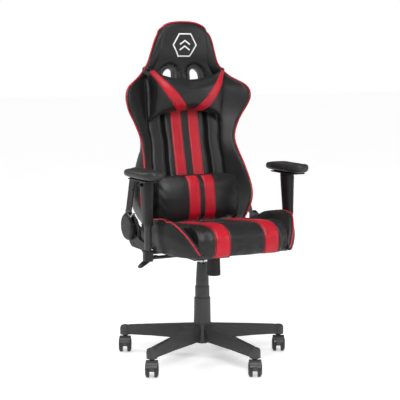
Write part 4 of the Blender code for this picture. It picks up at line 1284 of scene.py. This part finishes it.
def seat_bolster(side, way):
    tables = [[(-row[0], row[k]) for row in BOLSTER_STATIONS] for k in range(1, 5)]
    rings = []
    for k in range(41):
        ahead = mix(-0.022, 0.335, k / 40)
        inner_x = bolster_inner(ahead) + 0.001
        crest_x, crest_z, bulge, inner_z = (smooth_value(table, ahead) for table in tables)
        tall = crest_z - 0.4505
        section = (
            (inner_x, 0.4505), (inner_x, inner_z - 0.004), (mix(inner_x, crest_x, 0.38), mix(inner_z, crest_z, 0.45)),
            (crest_x - 0.016, crest_z - 0.003), (crest_x - 0.003, crest_z - 0.004),
            (crest_x + bulge - 0.002, 0.4505 + 0.55 * tall), (crest_x + 0.5 * bulge - 0.003, 0.4505 + 0.20 * tall),
            (crest_x - 0.008, 0.4505),
        )
        flat = [Vector((way * x, -ahead, z)) for x, z in section]
        ring = []
        for a, b in zip(flat, flat[1:] + flat[:1]):
            ring += [a.lerp(b, t / 4) for t in range(4)]
        rings.append(ring)
    shape = skin(f"seat_bolster_cover_{side}", rings, BLACK_LEATHER)
    inflated(shape, 0.0050, 0.008, pinned=pinned_to_board)

    def fit(point, normal):
        point = point + normal * creases(point, 0.0014, 16)
        outer = 0.2612 if point.y > -0.112 and point.z < 0.552 else 0.2700
        point.x = way * min(max(way * point.x, bolster_inner(-point.y)), outer)
        point.z = max(point.z, SEAT_LEAST_Z)
        point.y = min(point.y, SEAT_MOST_Y)
        return point

    reshape(shape, fit)
    surface = surface_of(shape)
    route = curve_through([Vector((way * x, y, z)) for x, y, z in BOLSTER_PIPING], 0.005)
    line = []
    for point in route:
        nearest, normal, _, _ = surface.find_nearest(point)
        line.append((nearest, normal))
    path = evenly(curve_through([p + n * 0.0012 for p, n in line[::3]], 0.004), 0.005)
    settle(tube(f"seat_piping_{side}", path, 0.0026, RED_EDGE, 12), "seat")

    inner = []
    for point, normal in line[:-6]:
        place, facing, _, _ = surface.find_nearest(point + Vector((-way * 0.009, 0, 0.002)))
        inner.append((place, facing))
    settle(stitches(f"seat_bolster_stitches_{side}", [inner]), "seat")
    settle(shape, "seat", [f"seat_bolster_{side}"])


# ---- armrests -----------------------------------------------------------------------------------
def oval_ring(width, depth, sides, power, place):
    points = []
    for k in range(sides):
        angle = 2 * pi * k / sides
        c, s = cos(angle), sin(angle)
        size = (abs(c) ** power + abs(s) ** power) ** (-1 / power)
        points.append(place(width / 2 * size * c, depth / 2 * size * s))
    return points


PAD_STATIONS = (  # share of the length from the front, half width, height of the under side and of the top
    (0.000, 0.0050, 0.50, 0.66), (0.010, 0.0140, 0.34, 0.78), (0.040, 0.0235, 0.15, 0.92),
    (0.100, 0.0330, 0.04, 0.99), (0.180, 0.0395, 0.00, 1.00), (0.320, 0.0435, 0.00, 1.00),
    (0.500, 0.0445, 0.00, 1.00), (0.700, 0.0430, 0.00, 0.99), (0.840, 0.0370, 0.00, 0.86),
    (0.920, 0.0300, 0.01, 0.78), (0.970, 0.0215, 0.06, 0.73), (0.993, 0.0130, 0.18, 0.66),
    (1.000, 0.0050, 0.34, 0.52),
)


def arm_pad(side):
    """A soft pad, dished along its front two thirds and lower at its rear."""
    low, high, middle = box(f"arm_pad_{side}")
    tables = [[(row[0], row[k]) for row in PAD_STATIONS] for k in (1, 2, 3)]
    long, tall = high.y - low.y, high.z - low.z
    rings = []
    for k in range(61):
        t = 0.5 - 0.5 * cos(pi * k / 60)
        half, under, over = (smooth_value(table, t) for table in tables)
        y = low.y + t * long
        bottom, top = low.z + under * tall, low.z + over * tall
        dish = 0.0020 + 0.0060 * ramp(0.05, 0.24, t) * (1 - ramp(0.60, 0.84, t))

        def place(a, b):
            hollow = dish * (1 - (a / half) ** 2) ** 1.5 if b > 0 else 0
            return Vector((middle.x + a, y, (top + bottom) / 2 + b - hollow))

        rings.append(oval_ring(2 * half, top - bottom, 44, 2.6, place))
    pad = skin(f"arm_pad_cover_{side}", rings, PAD_SKIN, 60)
    settle(pad, f"arm_{side}", [f"arm_pad_{side}"])


def arm_ribs(side):
    """Two raised ribs down the front of the arm's sleeve, and a thin rim round its foot."""
    low, high, middle = box(f"arm_sleeve_{side}")
    surface = cad_surface(f"arm_sleeve_{side}")
    bars = []
    for number, (x, wide) in enumerate(((-0.0030, 0.0036), (0.0055, 0.0012))):
        line = []
        for k in range(30):
            z = mix(low.z + 0.004, high.z - 0.016, k / 29)
            point, normal = dropped(surface, (middle.x + x * (0.85 + 0.3 * k / 29), -0.5, z), (0, 1, 0))
            line.append(point - normal * (0.6 * wide - 0.0006))
        bars.append(tube(f"rib_{number}", line, wide, TRIM, 12))
    settle(joined(f"arm_sleeve_ribs_{side}", bars), f"arm_{side}")
    rim = []
    for k in range(40):
        angle = 2 * pi * k / 40
        direction = Vector((cos(angle), sin(angle), 0))
        point, _ = dropped(surface, Vector((middle.x, -0.1425, low.z + 0.0035)) + direction * 0.08, -direction)
        rim.append(point)
    settle(tube(f"arm_sleeve_rim_{side}", rim, 0.0012, TRIM, 8, closed=True), f"arm_{side}")


# ---- recliner -----------------------------------------------------------------------------------
def disc_bolt(name, centre, radius, way, finish):
    """A domed bolt head with a hexagon socket, facing sideways."""
    shares = ((0.02, 0.30), (0.30, 0.28), (0.42, 0.62), (0.70, 0.60), (0.92, 0.42), (1.0, 0.16), (1.0, -0.1))
    profile = [(share * radius, height * radius) for share, height in shares]
    return turned(name, centre, Vector((way, 0, 0)), Vector((0, 1, 0)), profile, finish, sharp=35)


HINGE_Z = 0.522
RECLINER_SIDES = {  # how much further back the bracket is, y of the disc's middle, radius of its rim
    "right": (0.0, 0.063, 0.0455), "left": (0.035, 0.075, 0.0195),
}
BRACKET_BOLTS = ((0.088, 0.656), (0.097, 0.700))  # y, z
PANEL_SCREWS = ((-0.080, 0.4580), (0.030, 0.4600))
OUTSIDE = 0.4  # x that is well outside the chair


def recliner(side, way):
    """Bolts on the bracket, a rim round the disc, and screws in the lower panel."""
    further_back, rim_y, rim_radius = RECLINER_SIDES[side]
    strip, cover = cad_surface(f"back_arm_{side}"), cad_surface(f"recliner_cover_{side}")
    inward = (-way, 0, 0)
    for number, (y, z) in enumerate(BRACKET_BOLTS):
        point, _ = dropped(strip, (way * OUTSIDE, y + further_back, z), inward)
        bolt = disc_bolt(f"bracket_bolt_{side}_{number}", point, 0.0062, way, BRIGHT if number else STEEL)
        settle(bolt, "back")
    rim = []
    for k in range(72):
        angle = 2 * pi * k / 72
        above = (way * OUTSIDE, rim_y + rim_radius * cos(angle), HINGE_Z + rim_radius * sin(angle))
        rim.append(dropped(cover, above, inward)[0])
    settle(tube(f"recliner_rim_{side}", rim, 0.0012, TRIM, 8, closed=True), "seat")
    for number, (y, z) in enumerate(PANEL_SCREWS):
        point, _ = dropped(cover, (way * OUTSIDE, y, z), inward)
        settle(disc_bolt(f"cover_screw_{side}_{number}", point, 0.0042, way, STEEL), "seat")


def recline_lever():
    """A bright link and a soft grip on the lever."""
    low, _, middle = box("recline_lever")
    link = [Vector((middle.x, 0.036, 0.554)), Vector((middle.x, 0.029, 0.5645)), Vector((middle.x, 0.019, 0.5688))]
    settle(tube("recline_link", curve_through(link, 0.002), 0.0052, BRIGHT, 14), "recline_lever")
    pin = [Vector((middle.x, 0.030, 0.5680)), Vector((middle.x, 0.014, 0.5745)), Vector((middle.x, 0.002, 0.5760))]
    settle(tube("recline_latch", curve_through(pin, 0.002), 0.0030, BRIGHT, 12), "recline_lever")
    x = low.x + 0.0045
    grip = [Vector((x, y, z)) for y, z in ((-0.012, 0.558), (-0.027, 0.541), (-0.038, 0.518), (-0.044, 0.4945))]
    settle(tube("recline_grip", curve_through(grip, 0.003), 0.0056, TRIM, 16), "recline_lever")


# ---- base and column ----------------------------------------------------------------------------
CAP_PROFILE = (  # radius, how proud of the wheel's face
    (0.0238, -0.0010), (0.0232, 0.0008), (0.0205, 0.0014), (0.0196, 0.0002), (0.0125, -0.0002), (0.0118, 0.0014),
    (0.0060, 0.0024), (0.0010, 0.0026),
)
PLATE_BOLT_PROFILE = ((0.0105, 0.0), (0.0105, 0.0012), (0.0072, 0.0013), (0.0072, 0.0052), (0.0060, 0.0060))
PLATE_BOLT_PLACES = ((-0.082, -0.070), (0.082, -0.070), (-0.082, 0.040), (0.082, 0.040))


def caster_caps():
    """A moulded hub cap on the outer face of each wheel."""
    for number in range(1, 6):
        for letter in "ab":
            node = f"caster_{number}_wheel_{letter}"
            middle = box(node)[2]
            other = box(f"caster_{number}_wheel_{'b' if letter == 'a' else 'a'}")[2]
            outward = middle - other
            outward.z = 0
            outward.normalize()
            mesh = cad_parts[node].data
            face = max((v.co - COLUMN - middle).dot(outward) for v in mesh.vertices)
            side = outward.cross(Vector((0, 0, 1)))
            centre = middle + outward * face
            cap = turned(f"wheel_cap_{number}_{letter}", centre, outward, side, CAP_PROFILE, NYLON, 32)
            settle(cap, node)


def mechanism_bolts():
    """The bolts that hold the mechanism's plate under the seat board."""
    _, high, middle = box("mechanism_plate")
    down, across = Vector((0, 0, -1)), Vector((1, 0, 0))
    for number, (x, y) in enumerate(PLATE_BOLT_PLACES):
        place = Vector((middle.x + x, middle.y + y, high.z - 0.004))
        bolt = turned(f"plate_bolt_{number}", place, down, across, PLATE_BOLT_PROFILE, BRIGHT)
        settle(bolt, "seat")


# ---- stage --------------------------------------------------------------------------------------
LENS, LENS_SHIFT = 97.2, -0.0059
CAMERA_PLACE = Vector((-1.881, -3.614, 1.132))
LOOKS_DOWN, TURNED = 7.28, 27.5  # degrees


def camera():
    """Where the chair is seen from: in front, from the sitter's right, a little above the arms."""
    data = bpy.data.cameras.new("camera")
    data.lens, data.sensor_width, data.shift_x = LENS, 36, LENS_SHIFT
    data.clip_end = 60
    made = bpy.data.objects.new("camera", data)
    made.location = COLUMN + CAMERA_PLACE
    made.rotation_euler = (radians(90 - LOOKS_DOWN), 0, radians(-TURNED))
    scene.collection.objects.link(made)
    scene.camera = made


def area(name, place, aim, size, power):
    data = bpy.data.lights.new(name, "AREA")
    data.shape = "RECTANGLE"
    data.size, data.size_y = size
    data.energy = power
    made = bpy.data.objects.new(name, data)
    made.location = place
    made.rotation_euler = (Vector(aim) - Vector(place)).to_track_quat("-Z", "Y").to_euler()
    scene.collection.objects.link(made)


SKY_LIGHT = 0.17  # what the white surroundings give the chair, while the camera sees them at 1
FLOOR_LIGHT, FLOOR_SEEN = 0.14, 0.46  # the floor's own glow for the chair and for the camera


def studio():
    world = bpy.data.worlds.new("studio")
    world.use_nodes = True
    scene.world = world
    tree = world.node_tree
    background = tree.nodes["Background"]
    background.inputs["Color"].default_value = (1, 1, 1, 1)
    path = tree.nodes.new("ShaderNodeLightPath")
    strength = tree.nodes.new("ShaderNodeMapRange")
    strength.inputs["To Min"].default_value = SKY_LIGHT
    strength.inputs["To Max"].default_value = 1.0
    tree.links.new(path.outputs["Is Camera Ray"], strength.inputs["Value"])
    tree.links.new(strength.outputs["Result"], background.inputs["Strength"])

    verts = [(-30, -30, 0), (30, -30, 0), (30, 30, 0), (-30, 30, 0)]
    floor_finish = Finish("floor", (0.9, 0.9, 0.9), 0.9)
    floor_finish.tint(floor_finish.noise(2, 2), 0.99, 1.01)
    floor_finish.shader.inputs["Emission Color"].default_value = (1, 1, 1, 1)
    seen = floor_finish.node("ShaderNodeMapRange", To_Min=FLOOR_LIGHT, To_Max=FLOOR_SEEN)
    lit = floor_finish.tree.nodes.new("ShaderNodeLightPath")
    floor_finish.link(lit.outputs["Is Camera Ray"], seen.inputs["Value"])
    floor_finish.link(seen.outputs["Result"], floor_finish.shader.inputs["Emission Strength"])
    floor = piece("floor", verts, [(0, 1, 2, 3)], floor_finish.material)

    sun = bpy.data.lights.new("sun", "SUN")
    sun.energy, sun.angle = 1.4, radians(40)
    over = bpy.data.objects.new("sun", sun)
    over.rotation_euler = (radians(14), radians(-10), 0)
    scene.collection.objects.link(over)
    area("key", (-1.3, -2.9, 2.6), (0, 0, 0.75), (1.2, 1.2), 66)
    area("fill", (2.3, -1.9, 1.5), (0, 0, 0.7), (0.5, 1.8), 22)
    area("rim", (-1.8, 1.6, 2.2), (0, 0.1, 0.9), (1.0, 1.0), 24)
    scene.view_settings.view_transform = "Standard"


# ---- assembly -----------------------------------------------------------------------------------
camera()
studio()
finish_cad_nodes()
backrest()
back_trim()
neck_bezels()
emblem()
neck_pillow()
neck_strap()
lumbar_cushion()
seat_cushion()
recline_lever()
for side_name, side_way in SIDES:
    seat_bolster(side_name, side_way)
    arm_pad(side_name)
    arm_ribs(side_name)
    recliner(side_name, side_way)
caster_caps()
mechanism_bolts()
